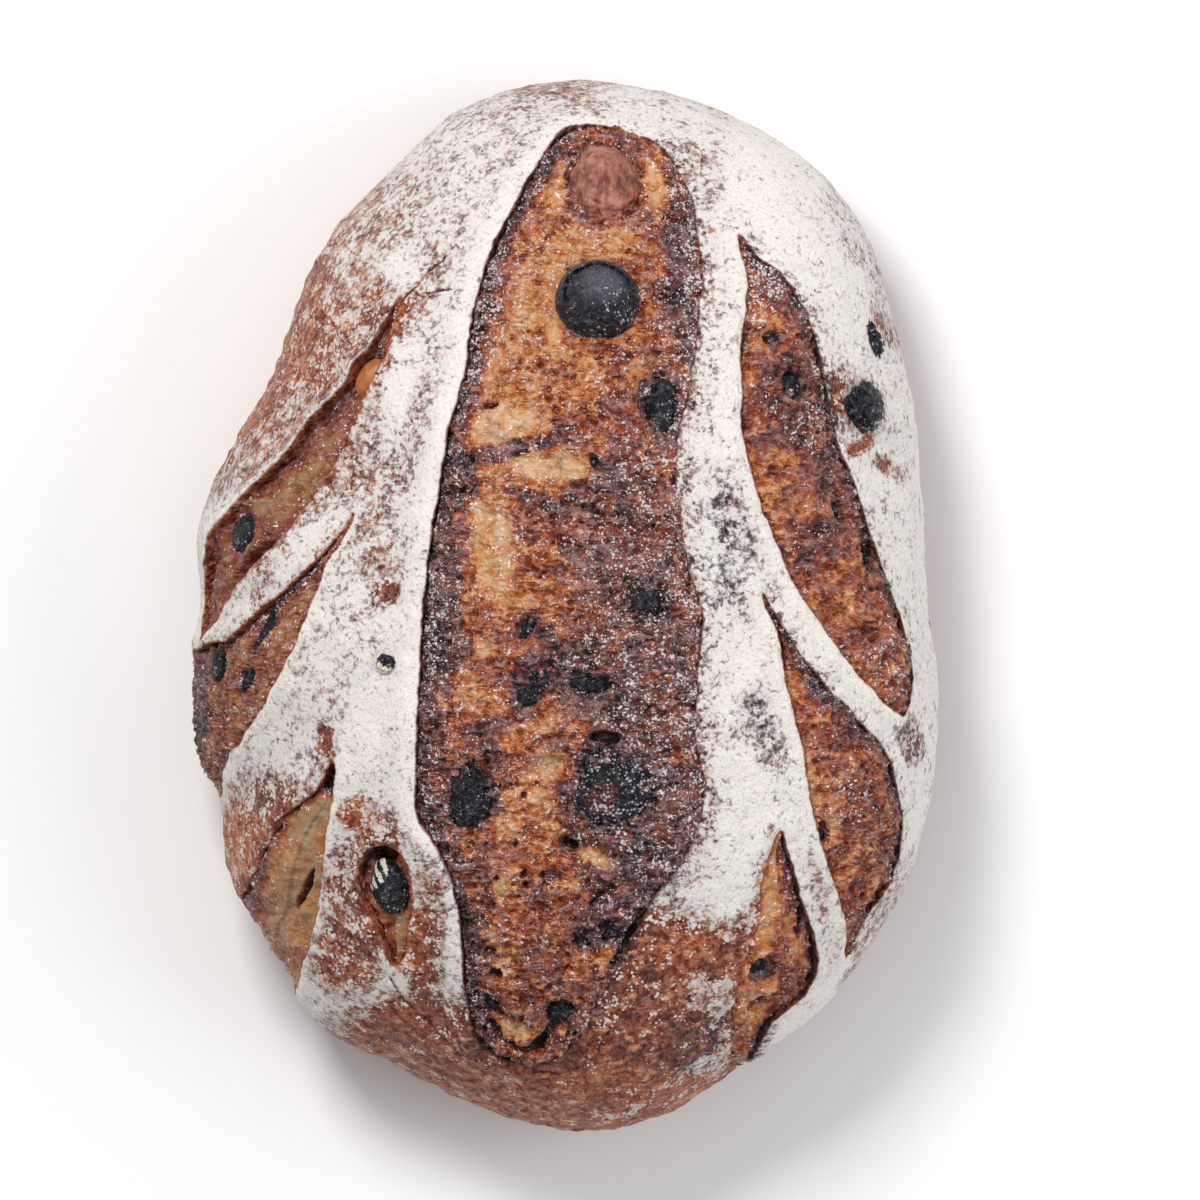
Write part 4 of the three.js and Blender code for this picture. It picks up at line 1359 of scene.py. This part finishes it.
print("lumps of the crumb are up to", LUMP_HEIGHT, "mm high")


# %% Make the beds of crumb
def make_crumb(name, opening):
    """The bed of crumb of one opening, as a closed piece."""
    grid, angle, way = lay_grid(opening)
    points, normal, facts = shape_crumb(opening, angle, way)
    set_points(grid, points)
    close_under(grid, normal.mean(0))
    piece = link_mesh("crumb_" + name, grid)
    for key, values in facts.items():
        write_attribute(piece, key, values)
    return piece


crumbs = {name: make_crumb(name, opening) for name, opening in OPENINGS.items()}
print("crumb faces:", {name: len(piece.data.polygons) for name, piece in crumbs.items()})

# %% [markdown]
# Each fruit is a ball squeezed to its size. Slow noise makes it lopsided, and folded noise makes
# the creases of a dried skin. The tops are flattened, because the dough held them. The crown berry
# keeps its round rim, with a painted highlight on its upper middle and on the lit side of the rim,
# the burst one has a crater that shows its pulp, and the raisin in the pit still carries flour in
# stripes on the side that faces the lip.

# %% Marks of single fruits
TOP_SHARE = 0.66  # a baked-in fruit is flatter above than below
FURROW_AT, RIM_AT = 0.78, 0.90  # shares of the crown berry's radius
FURROW_DEPTH, RIM_HEIGHT, CRATER_DEPTH = 0.9, 0.3, 1.6


def ring(direction, at, width):
    """1 on a ring on the upper half of a ball, at a share of its radius, and 0 off it."""
    rho = np.hypot(direction[:, 0], direction[:, 1])
    return np.exp(-(((rho - at) / width) ** 2)) * (direction[:, 2] > 0)


def groove_rim(direction, points):
    """A furrow inside the upper rim of the crown berry. Gives the furrow, and a painted highlight:
    broad and soft on the upper middle, and an arc on the rim's side that faces the key light.
    """
    upper = smooth_step(-0.25, 0.35, direction[:, 1] - 0.3 * direction[:, 0])
    furrow, rim = ring(direction, FURROW_AT, 0.04), ring(direction, RIM_AT, 0.06)
    points[:, 2] += (RIM_HEIGHT * rim - FURROW_DEPTH * furrow) * upper
    groove = furrow * upper
    # Painted highlight: a broad soft patch on the upper middle of the dome, and a lit arc on the
    # rim on the side towards the key light, both kept out of the furrow.
    middle = np.hypot(direction[:, 0] - 0.05, direction[:, 1] - 0.20)
    painted_highlight = smooth_step(0.75, 0.10, middle) * (direction[:, 2] > 0) * (1 - groove)
    lit = smooth_step(0.1, 0.7, direction @ (-0.35, 0.90, 0.0))
    return groove, painted_highlight + 0.8 * lit * ring(direction, RIM_AT, 0.045)


def open_crater(direction, points):
    """The crater of the burst berry. Gives how much of the pulp shows."""
    gap = np.hypot(direction[:, 0] + 0.30, direction[:, 1] + 0.05)
    gap += 0.16 * layered_noise(direction, 0.5, 3, seed=55)
    points[:, 2] -= CRATER_DEPTH * smooth_step(0.50, 0.15, gap) * (direction[:, 2] > 0)
    return smooth_step(0.46, 0.30, gap)


def flour_on_side(fruit, direction, own):
    """A ragged cap of flour on the side that the fruit's entry names."""
    across, along, start = fruit["floured"]
    ragged = 0.5 * layered_noise(own, 0.4, 3, seed=57)
    return smooth_step(0.0, 0.3, direction @ (across, along, 0.1) - start + ragged)


def flour_in_stripes(direction, own):
    """Bent stripes of flour on the side of the pit's raisin that faces the lip."""
    bent = 1.6 * layered_noise(own, 0.35, 3, seed=58)
    stripes = np.sin(15 * direction @ (0.80, 0.60, 0.0) + bent) + 0.5 * bent
    side = smooth_step(0.45, 0.62, direction @ (-0.50, 0.70, 0.3))
    return side * smooth_step(-0.5, 0.1, stripes)


print("the crown berry's furrow is", FURROW_DEPTH, "mm deep")

# %% Fruit shapes
LARGE_HALF = 5.0  # fruits with a larger half width get finer faces
USUAL_WRINKLES = 0.20
OWN_NOISE = 3.1  # each fruit reads its own stretch of the noise


def make_fruit(name, fruit):
    """A ball squeezed to the fruit's half sizes, wrinkled, and laid where its node is."""
    ball = bmesh.new()
    level = 6 if fruit["half"][0] > LARGE_HALF else 5
    bmesh.ops.create_icosphere(ball, subdivisions=level, radius=1.0)
    direction = np.array([v.co for v in ball.verts])
    own = direction + OWN_NOISE * list(FRUITS).index(name)
    wrinkled = fruit.get("wrinkled", USUAL_WRINKLES)
    swell = (0.03 + 0.5 * wrinkled) * layered_noise(own, 0.9, 2, seed=50)
    folds = np.abs(layered_noise(own, 0.5, 3, seed=51, rough=0.6)) - 0.3
    points = direction * fruit["half"] * (1 + swell + wrinkled * folds)[:, None]
    marks = {key: np.zeros(len(points)) for key in ("pulp", "painted_highlight", "groove", "flour")}
    if name == "berry_crown":
        marks["groove"], marks["painted_highlight"] = groove_rim(direction, points)
    if name == "berry_burst":
        marks["pulp"] = open_crater(direction, points)
    if "floured" in fruit:
        marks["flour"] = flour_on_side(fruit, direction, own)
    if name == "raisin_pit":
        marks["flour"] = flour_in_stripes(direction, own)
    marks["dust"] = 0.6 * smooth_step(-0.3, 0.7, direction @ (0.5, -0.8, 0.0))
    marks["dust"] += 0.4 * (wrinkled > 0.4) + fruit.get("dusty", 0.0)
    points[:, 2] *= np.where(points[:, 2] > 0, fruit.get("top", TOP_SHARE), 1.0)
    set_points(ball, points @ fruit["lay"].T + fruit["centre"])
    piece = link_mesh(name + "_fruit", ball)
    for key, values in marks.items():
        write_attribute(piece, key, values)
    return piece


fruits = {name: make_fruit(name, fruit) for name, fruit in FRUITS.items()}
print("fruit faces:", sum(len(piece.data.polygons) for piece in fruits.values()))

# %% [markdown]
# The materials are chains of many small nodes. One helper makes the nodes and the links
# between them, so a material reads like a recipe. Noise and cells read Object coordinates,
# which are metres here, so a pattern's size in millimetres is turned into a scale.

# %% A helper for materials
class Recipe:
    """One material under construction."""

    def __init__(self, name):
        self.material = bpy.data.materials.new(name)
        self.material.use_nodes = True
        self.tree = self.material.node_tree
        self.shader = self.tree.nodes["Principled BSDF"]
        self.place = self.node("ShaderNodeTexCoord").outputs["Object"]

    def node(self, kind, inputs=None, **settings):
        """A node with its settings made and its inputs linked or set."""
        node = self.tree.nodes.new(kind)
        for key, value in settings.items():
            setattr(node, key, value)
        for key, value in (inputs or {}).items():
            if isinstance(value, bpy.types.NodeSocket):
                self.tree.links.new(value, node.inputs[key])
            else:
                node.inputs[key].default_value = value
        return node

    def number(self, attribute):
        """The number that a piece's points carry under the attribute's name."""
        return self.node("ShaderNodeAttribute", attribute_name=attribute).outputs["Fac"]

    def math(self, operation, a, b=0.0, clamp=False):
        """Result of a sum, a product or the like of two numbers."""
        made = self.node("ShaderNodeMath", {0: a, 1: b}, operation=operation, use_clamp=clamp)
        return made.outputs[0]

    def noise(self, size_mm, detail=2.0, roughness=0.55, stretch=(1, 1, 1), curl=0.0):
        """Noise around 0.5 whose swells are size_mm apart, and curl round each other."""
        moved = self.node("ShaderNodeMapping", {"Vector": self.place, "Scale": stretch})
        made = self.node("ShaderNodeTexNoise", {
            "Vector": moved.outputs["Vector"], "Scale": 1 / (size_mm * MM),
            "Detail": detail, "Roughness": roughness, "Distortion": curl,
        })
        return made.outputs["Fac"]

    def cells(self, size_mm, stretch=(1, 1, 1)):
        """Distance from the middle of round cells that are size_mm apart."""
        moved = self.node("ShaderNodeMapping", {"Vector": self.place, "Scale": stretch})
        made = self.node("ShaderNodeTexVoronoi", {
            "Vector": moved.outputs["Vector"], "Scale": 1 / (size_mm * MM),
        })
        return made.outputs["Distance"]

    def fit(self, value, low, high, to_low=0.0, to_high=1.0, smooth=True):
        """Turns low..high into to_low..to_high, softly at both ends."""
        made = self.node("ShaderNodeMapRange", {
            "Value": value, "From Min": low, "From Max": high,
            "To Min": to_low, "To Max": to_high,
        }, interpolation_type="SMOOTHSTEP" if smooth else "LINEAR", clamp=True)
        return made.outputs["Result"]

    def ramp(self, value, stops):
        """Colours at stops from 0 to 1."""
        made = self.node("ShaderNodeValToRGB", {"Fac": value})
        elements = made.color_ramp.elements
        while len(elements) < len(stops):
            elements.new(0.5)
        for element, (position, colour) in zip(elements, stops):
            element.position = position
            element.color = (*colour, 1)
        return made.outputs["Color"]

    def tint(self, colour, by):
        """A colour times another."""
        return self.mix(1.0, colour, by, blend_type="MULTIPLY")

    def mix(self, share, a, b, **settings):
        """Colour a where share is 0 and b where it is 1."""
        made = self.node("ShaderNodeMix", data_type="RGBA", clamp_factor=True, **settings)
        sockets = {"Factor_Float": share, "A_Color": a, "B_Color": b}
        for socket in made.inputs:
            value = sockets.get(socket.identifier)
            if isinstance(value, bpy.types.NodeSocket):
                self.tree.links.new(value, socket)
            elif value is not None:
                socket.default_value = value if socket.type == "VALUE" else (*value, 1)
        return next(s for s in made.outputs if s.identifier == "Result_Color")

    def bump(self, height, distance_mm):
        """Small relief from a height between 0 and 1, which is distance_mm high at 1."""
        inputs = {"Height": height, "Distance": distance_mm * MM, "Strength": 1.0}
        return self.node("ShaderNodeBump", inputs).outputs["Normal"]

    def finish(self, **sockets):
        """Links or sets the shader's inputs and gives the material."""
        for key, value in sockets.items():
            socket = self.shader.inputs[key.replace("_", " ")]
            if isinstance(value, bpy.types.NodeSocket):
                self.tree.links.new(value, socket)
            else:
                socket.default_value = value
        print(self.material.name, "has", len(self.tree.nodes), "nodes")
        return self.material


# %% [markdown]
# Every place gets three colours: the gaps in the grain are darker and deeper in colour, the body is
# in between, and the tips that stand proud are pale. The body is the bread's own browning; the dark
# gaps are painted shade, and the pale tips are painted highlight, as glints on wet bumps. All three
# shift together as the bread browns. So one ramp over browning gives the body, a tint of painted
# shade makes the gaps from it, a pale film of painted highlight the tips, and the noise that gives
# the bumps chooses among them. In pale bread the painted shade in the gaps is weak, because light
# passes through it.

# %% Body colour, painted shade in the gaps and painted highlight on the tips, for every stage of browning
# Tints of painted shade for the gaps, and films of painted highlight for the tips.
PALE_GAP_SHADE, DARK_GAP_SHADE = (0.66, 0.47, 0.32), (0.40, 0.17, 0.13)
PALE_TIP_HIGHLIGHT, DARK_TIP_HIGHLIGHT = (0.95, 0.65, 0.47), (0.70, 0.50, 0.50)


def add_up(r, *parts):
    """Sum of values, each times its weight."""
    total = 0.0
    for value, weight in parts:
        total = r.math("ADD", total, r.math("MULTIPLY", value, weight))
    return total


def three_tones(r, shade, grain, stops, highlight_film):
    """Colour for a browning and a grain from 0, a gap with painted shade, to 1, a tip with painted
    highlight.
    """
    body = r.ramp(shade, stops)
    # Painted shade: the gaps are the body darkened by a tint, less so in pale bread.
    gap = r.tint(body, r.mix(r.fit(shade, 0.10, 0.60), PALE_GAP_SHADE, DARK_GAP_SHADE))
    # Painted highlight: the tips are the body lightened towards a pale film, as glints on wet
    # bumps.
    highlight_colour = r.mix(r.fit(shade, 0.30, 0.80), PALE_TIP_HIGHLIGHT, DARK_TIP_HIGHLIGHT)
    tip = r.mix(r.fit(shade, 0.2, 0.9, highlight_film, 0.75 * highlight_film), body, highlight_colour)
    low = r.fit(grain, 0.0, 0.5, smooth=False)
    high = r.fit(grain, 0.5, 1.0, smooth=False)
    return r.mix(high, r.mix(low, gap, body), tip)


print("gaps are tinted from", PALE_GAP_SHADE, "to", DARK_GAP_SHADE)

# %% [markdown]
# The crust is browned dough under rice flour. Flour lies in grains, so its cover is noise
# held against the density that was painted: where the density is high nearly every place is
# above the mark, and where it is low only scattered grains are, each with a crisp edge. In
# thick flour the cover is soft, because between the grains there is a thin film of dust.
# Bare crust is reddish brown with paler blisters and dark creases, and it has a dull shine. Its
# bumps get painted shade in their dips and painted highlight on their tips.

# %% How flour covers the crust
CRUST_STOPS = [
    (0.00, (0.660, 0.320, 0.120)),
    (0.30, (0.540, 0.180, 0.064)),
    (0.55, (0.350, 0.088, 0.032)),
    (0.78, (0.180, 0.050, 0.028)),
    (1.00, (0.050, 0.026, 0.028)),
]
FLOUR_THIN = (0.745, 0.703, 0.682)
FLOUR_THICK = (0.850, 0.800, 0.748)
# Grey of painted shade in thick flour.
FLOUR_PAINTED_SHADE = (0.560, 0.513, 0.490)


def flour_cover(r, flour, grain, clump):
    """How much of the crust flour hides: soft where it is thick, crisp grains where sparse."""
    above = add_up(r, (grain, 0.70), (clump, 0.30), (flour, 0.36))
    thick = r.fit(flour, 0.30, 0.62)
    sparse = r.math("SUBTRACT", 1.0, thick)
    soft = r.fit(above, 0.648, 0.760, smooth=False)
    dots = add_up(r, (r.cells(0.9), -0.45), (clump, 0.90), (flour, 0.45))
    dots = r.fit(dots, 0.410, 0.445, 0.0, 0.9)
    cover = add_up(r, (soft, thick), (r.fit(above, 0.665, 0.705), sparse))
    return r.math("MAXIMUM", cover, r.math("MULTIPLY", dots, sparse))


print("flour goes from", FLOUR_THIN, "where it is thin to", FLOUR_THICK)


# %% The floured crust
def make_crust():
    """The floured skin's material."""
    r = Recipe("floured_crust")
    flour, brown = r.number("flour"), r.number("brown")
    edge, crack, fray = r.number("edge"), r.number("crack"), r.number("fray")
    grain, clump = r.noise(1.2, 5, 0.70, curl=0.35), r.noise(3.4, 3, 0.6)
    on_top = r.fit(edge, 0.10, 0.60)
    cover = r.math("MULTIPLY", flour_cover(r, flour, grain, clump), on_top)
    cover = r.math("MULTIPLY", cover, r.fit(crack, 0.85, 0.35))

    blister = r.fit(r.cells(2.8, stretch=(0.7, 1.2, 1)), 0.50, 0.15)
    blister = r.math("MULTIPLY", blister, r.fit(r.noise(3.0, 2), 0.44, 0.56))
    pebble, fine = r.noise(1.3, 1.5, 0.5, curl=0.6), r.noise(0.55, 2, 0.6)
    height = add_up(r, (pebble, 0.75), (blister, 0.12), (fine, 0.25))
    shade = add_up(r, (brown, 1.0), (clump, -0.9), (blister, -0.35))
    shade = r.math("ADD", shade, 0.48, clamp=True)
    tone = r.fit(height, 0.38, 0.66, smooth=False)
    # The bare crust's bumps get painted shade in the dips and painted highlight on the tips.
    bare = three_tones(r, shade, tone, CRUST_STOPS, highlight_film=0.27)

    powder = r.mix(r.fit(flour, 0.60, 0.95), FLOUR_THIN, FLOUR_THICK)
    # Painted shade: thick flour is greyed where the fine noise dips.
    powder = r.mix(r.fit(fine, 0.47, 0.39, 0.0, 0.5), powder, FLOUR_PAINTED_SHADE)
    veil = r.math("MULTIPLY", r.fit(flour, 0.50, 1.00, 0.0, 0.40), r.fit(fray, 0.5, 0.0))
    veil = r.math("MULTIPLY", veil, on_top)
    colour = r.mix(cover, r.mix(veil, bare, FLOUR_THIN), powder)
    rough = r.math("MULTIPLY", r.math("SUBTRACT", height, 0.5), r.fit(cover, 0, 1, 1.0, 0.15))
    return r.finish(
        Base_Color=colour,
        Roughness=r.fit(cover, 0, 1, 0.34, 0.95),
        Specular_IOR_Level=r.fit(cover, 0, 1, 0.28, 0.1),
        Normal=r.bump(add_up(r, (cover, 0.04), (rough, 1.0), (grain, 0.2)), 2.0),
    )


skin.data.materials.append(make_crust())

# %% [markdown]
# Torn crumb is a gel that set in the oven: beige where it is thin, then golden, orange, crimson,
# purple-brown and nearly black where it is thick and proud. It is pebbled and drawn into fibres
# across the opening, and shines as if wet. Flour settled on it as a mauve bloom and as loose
# grains, most of all where it stands proud. The pale specks are partly those grains and partly
# painted glints of the wet shine.

# %% Colours of the crumb, and loose flour and painted glints on it
CRUMB_STOPS = [
    (0.00, (0.530, 0.350, 0.190)),
    (0.14, (0.530, 0.280, 0.110)),
    (0.30, (0.580, 0.200, 0.048)),
    (0.45, (0.430, 0.096, 0.022)),
    (0.60, (0.255, 0.050, 0.024)),
    (0.75, (0.150, 0.037, 0.031)),
    (0.88, (0.080, 0.030, 0.033)),
    (1.00, (0.018, 0.012, 0.016)),
]
# Tint of painted shade for the pale crumb of deep slashes.
DEEP_SHADE_TINT = (0.54, 0.64, 0.76)
BLOOM = (0.420, 0.195, 0.185)
# Pale specks: loose flour grains, and painted glints of the wet shine.
FLOUR_AND_GLINT_SPECK = (0.86, 0.78, 0.76)


def flour_and_glint_specks(r, dust):
    """Loose grains and flakes of flour, partly painted glints, from 0 to 0.9: more where there is
    more dust.
    """
    cluster = r.noise(3.0, 3, 0.6)
    dots = r.fit(add_up(r, (r.cells(0.9), -1.0), (cluster, 1.0), (dust, 0.35)), 0.485, 0.540)
    flakes = r.fit(add_up(r, (r.noise(0.75, 1), 1.0), (cluster, 0.5), (dust, 0.14)), 0.995, 1.03)
    return r.math("MULTIPLY", r.math("MAXIMUM", dots, flakes), 0.9)


print(len(CRUMB_STOPS), "colours from pale to burnt crumb")


# %% The torn crumb
def make_crumb_finish():
    """The torn crumb's material."""
    r = Recipe("torn_crumb")
    brown, dust, relief = r.number("brown"), r.number("dust"), r.number("relief")
    grain, painted_deep_shade = r.number("grain"), r.number("painted_deep_shade")
    pebble, fine = r.noise(1.3, 1.5, 0.5, curl=0.3), r.noise(0.5, 2, 0.6)
    fibre = r.noise(1.15, 2, 0.5, (0.24, 1, 1), 0.8)
    clump = r.noise(4.4, 3.5, 0.6, curl=0.8)
    height = add_up(r, (pebble, 0.45), (fibre, 0.45), (fine, 0.22))
    height = r.math("MULTIPLY", r.math("SUBTRACT", height, 0.56), grain)
    tone = r.fit(add_up(r, (height, 1.0), (relief, 0.05)), -0.13, 0.12, smooth=False)
    mottle = r.math("MULTIPLY", r.math("SUBTRACT", 0.5, clump), r.fit(grain, 0.3, 0.9, 0.5, 1.5))
    shade = r.math("ADD", brown, mottle, clamp=True)
    # The crumb's bumps get painted shade in the dips and painted highlight on the tips.
    colour = three_tones(r, shade, tone, CRUMB_STOPS, highlight_film=0.42)
    # Painted shade: the pale crumb of deep slashes is darkened to a dull olive brown.
    painted_deep_shade = r.math("MULTIPLY", painted_deep_shade, r.fit(shade, 0.70, 0.40))
    colour = r.mix(painted_deep_shade, colour, r.tint(colour, DEEP_SHADE_TINT))
    bloom = add_up(r, (r.noise(6.0, 3, 0.6), 1.0), (dust, 0.14))
    colour = r.mix(r.fit(bloom, 0.55, 0.70, 0.0, 0.26), colour, BLOOM)
    flour_and_glint = flour_and_glint_specks(r, dust)
    # Pale specks: partly loose flour, partly painted glints.
    colour = r.mix(flour_and_glint, colour, FLOUR_AND_GLINT_SPECK)
    rough = r.math("MULTIPLY", height, r.fit(shade, 0.05, 0.50, 0.45, 1.0))
    return r.finish(
        Base_Color=colour,
        Roughness=r.fit(flour_and_glint, 0, 1, 0.24, 0.8),
        Specular_IOR_Level=0.32,
        Normal=r.bump(rough, 3.2),
    )


crumb_finish = make_crumb_finish()
for piece in crumbs.values():
    piece.data.materials.append(crumb_finish)

# %% [markdown]
# Dried fruit at the crust is baked nearly black, with a shine where it is bare, and sugar and flour
# in clusters of pale grains, which also stand in as painted glints. The crown berry has a painted
# highlight on its upper middle and on the lit side of its rim. The nuts are skinned in brown, with
# soft blotches drawn from end to end.

# %% Dried fruit
FRUIT_STOPS = [
    (0.36, (0.002, 0.002, 0.003)), (0.50, (0.010, 0.010, 0.014)), (0.66, (0.050, 0.049, 0.064)),
]
# Pale specks: sugar and flour grains, and painted glints.
SUGAR_AND_GLINT = (0.52, 0.50, 0.53)
# Colour of the painted highlight on the crown berry.
PAINTED_HIGHLIGHT = (0.100, 0.100, 0.135)
FLOUR_ON_FRUIT = (0.78, 0.71, 0.61)
PULP_STOPS = [
    (0.40, (0.016, 0.004, 0.005)), (0.52, (0.090, 0.020, 0.016)), (0.64, (0.260, 0.100, 0.085)),
]


def make_fruit_finish():
    """The dried fruits' material."""
    r = Recipe("dried_fruit_skin")
    pebble, fine = r.noise(1.3, 2, 0.55, curl=0.5), r.noise(0.5, 2, 0.6)
    pulp = r.number("pulp")
    colour = r.mix(pulp, r.ramp(pebble, FRUIT_STOPS), r.ramp(fine, PULP_STOPS))
    # Painted highlight: the crown berry's upper middle and lit rim are lightened towards a
    # blue-grey, broken up by fine noise.
    painted_highlight = r.math("MULTIPLY", r.number("painted_highlight"), r.fit(fine, 0.38, 0.58, 0.4, 1.0))
    colour = r.mix(painted_highlight, colour, PAINTED_HIGHLIGHT)
    cluster, dust = r.noise(2.6, 3, 0.6), r.number("dust")
    # Pale specks of sugar and flour, which also stand in as painted glints.
    sugar_and_glint = add_up(r, (r.cells(0.80), -1.0), (cluster, 1.0), (dust, 0.22), (pulp, 0.10))
    colour = r.mix(r.fit(sugar_and_glint, 0.405, 0.455, 0.0, 0.8), colour, SUGAR_AND_GLINT)
    stripe = r.math("ADD", r.number("flour"), r.fit(pebble, 0.35, 0.65, -0.4, 0.4, smooth=False))
    colour = r.mix(r.fit(stripe, 0.35, 0.65), colour, FLOUR_ON_FRUIT)
    return r.finish(
        Base_Color=colour,
        Roughness=0.24,
        Specular_IOR_Level=r.fit(r.number("groove"), 0.2, 0.8, 0.30, 0.02),
        Normal=r.bump(add_up(r, (pebble, 0.7), (fine, 0.3)), 1.8),
    )


fruit_finish = make_fruit_finish()

# %% Nuts
HAZELNUT_STOPS = [
    (0.40, (0.12, 0.030, 0.018)), (0.50, (0.28, 0.088, 0.052)), (0.60, (0.42, 0.175, 0.115)),
]
ALMOND_STOPS = [(0.3, (0.30, 0.08, 0.020)), (0.5, (0.44, 0.14, 0.035)), (0.7, (0.58, 0.25, 0.09))]


def make_nut_finish(name, stops, bump_mm):
    """A nut's material, with ridges and blotches drawn from end to end."""
    r = Recipe(name)
    ridges = r.noise(1.5, 3, 0.6, stretch=(1, 0.5, 1), curl=0.4)
    blotch = r.noise(4.0, 3, 0.6)
    colour = r.ramp(add_up(r, (ridges, 0.5), (blotch, 0.5)), stops)
    return r.finish(Base_Color=colour, Roughness=0.45, Normal=r.bump(ridges, bump_mm))


NUT_FINISHES = {
    "hazelnut_top": make_nut_finish("hazelnut_skin", HAZELNUT_STOPS, 0.5),
    "almond_upper_left": make_nut_finish("almond_flesh", ALMOND_STOPS, 0.1),
}
for name, piece in fruits.items():
    piece.data.materials.append(NUT_FINISHES.get(name, fruit_finish))

# %% Table's finish
TABLE_WHITE = (0.96, 0.96, 0.96, 1)

table_recipe = Recipe("table_top")
table.data.materials.append(table_recipe.finish(Base_Color=TABLE_WHITE, Roughness=0.8))

# %% [markdown]
# The loaf is seen from straight above, so the camera looks down with a very long lens from
# far away. The lens is so long that the raised middle is hardly larger than the flanks.

# %% A camera straight above
VIEW_WIDTH = 250.0  # what the picture's width spans at the loaf's widest contour
VIEW_CENTRE = (7.4, 0.2)  # the point below the camera
LENS = 1200.0
SENSOR = 36.0
VIEW_END = 20.0  # metres from the camera, past the table


def make_camera():
    """A long lens straight above the loaf, with the loaf's length up the picture."""
    data = bpy.data.cameras.new("camera")
    data.lens = LENS
    data.sensor_width = SENSOR
    data.clip_end = VIEW_END
    camera = bpy.data.objects.new("camera", data)
    distance = VIEW_WIDTH * LENS / SENSOR
    camera.location = Vector((*VIEW_CENTRE, WIDEST_HEIGHT + distance)) * MM
    bpy.context.scene.collection.objects.link(camera)
    bpy.context.scene.camera = camera
    return camera


camera = make_camera()
print("camera", round(camera.location.z, 2), "m above the table")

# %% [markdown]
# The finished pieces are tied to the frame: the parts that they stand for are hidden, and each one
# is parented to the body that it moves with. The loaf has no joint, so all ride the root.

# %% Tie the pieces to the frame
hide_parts("loaf")
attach(skin, "root")
for piece in crumbs.values():
    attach(piece, "root")
for name, piece in fruits.items():
    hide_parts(name)
    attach(piece, "root")
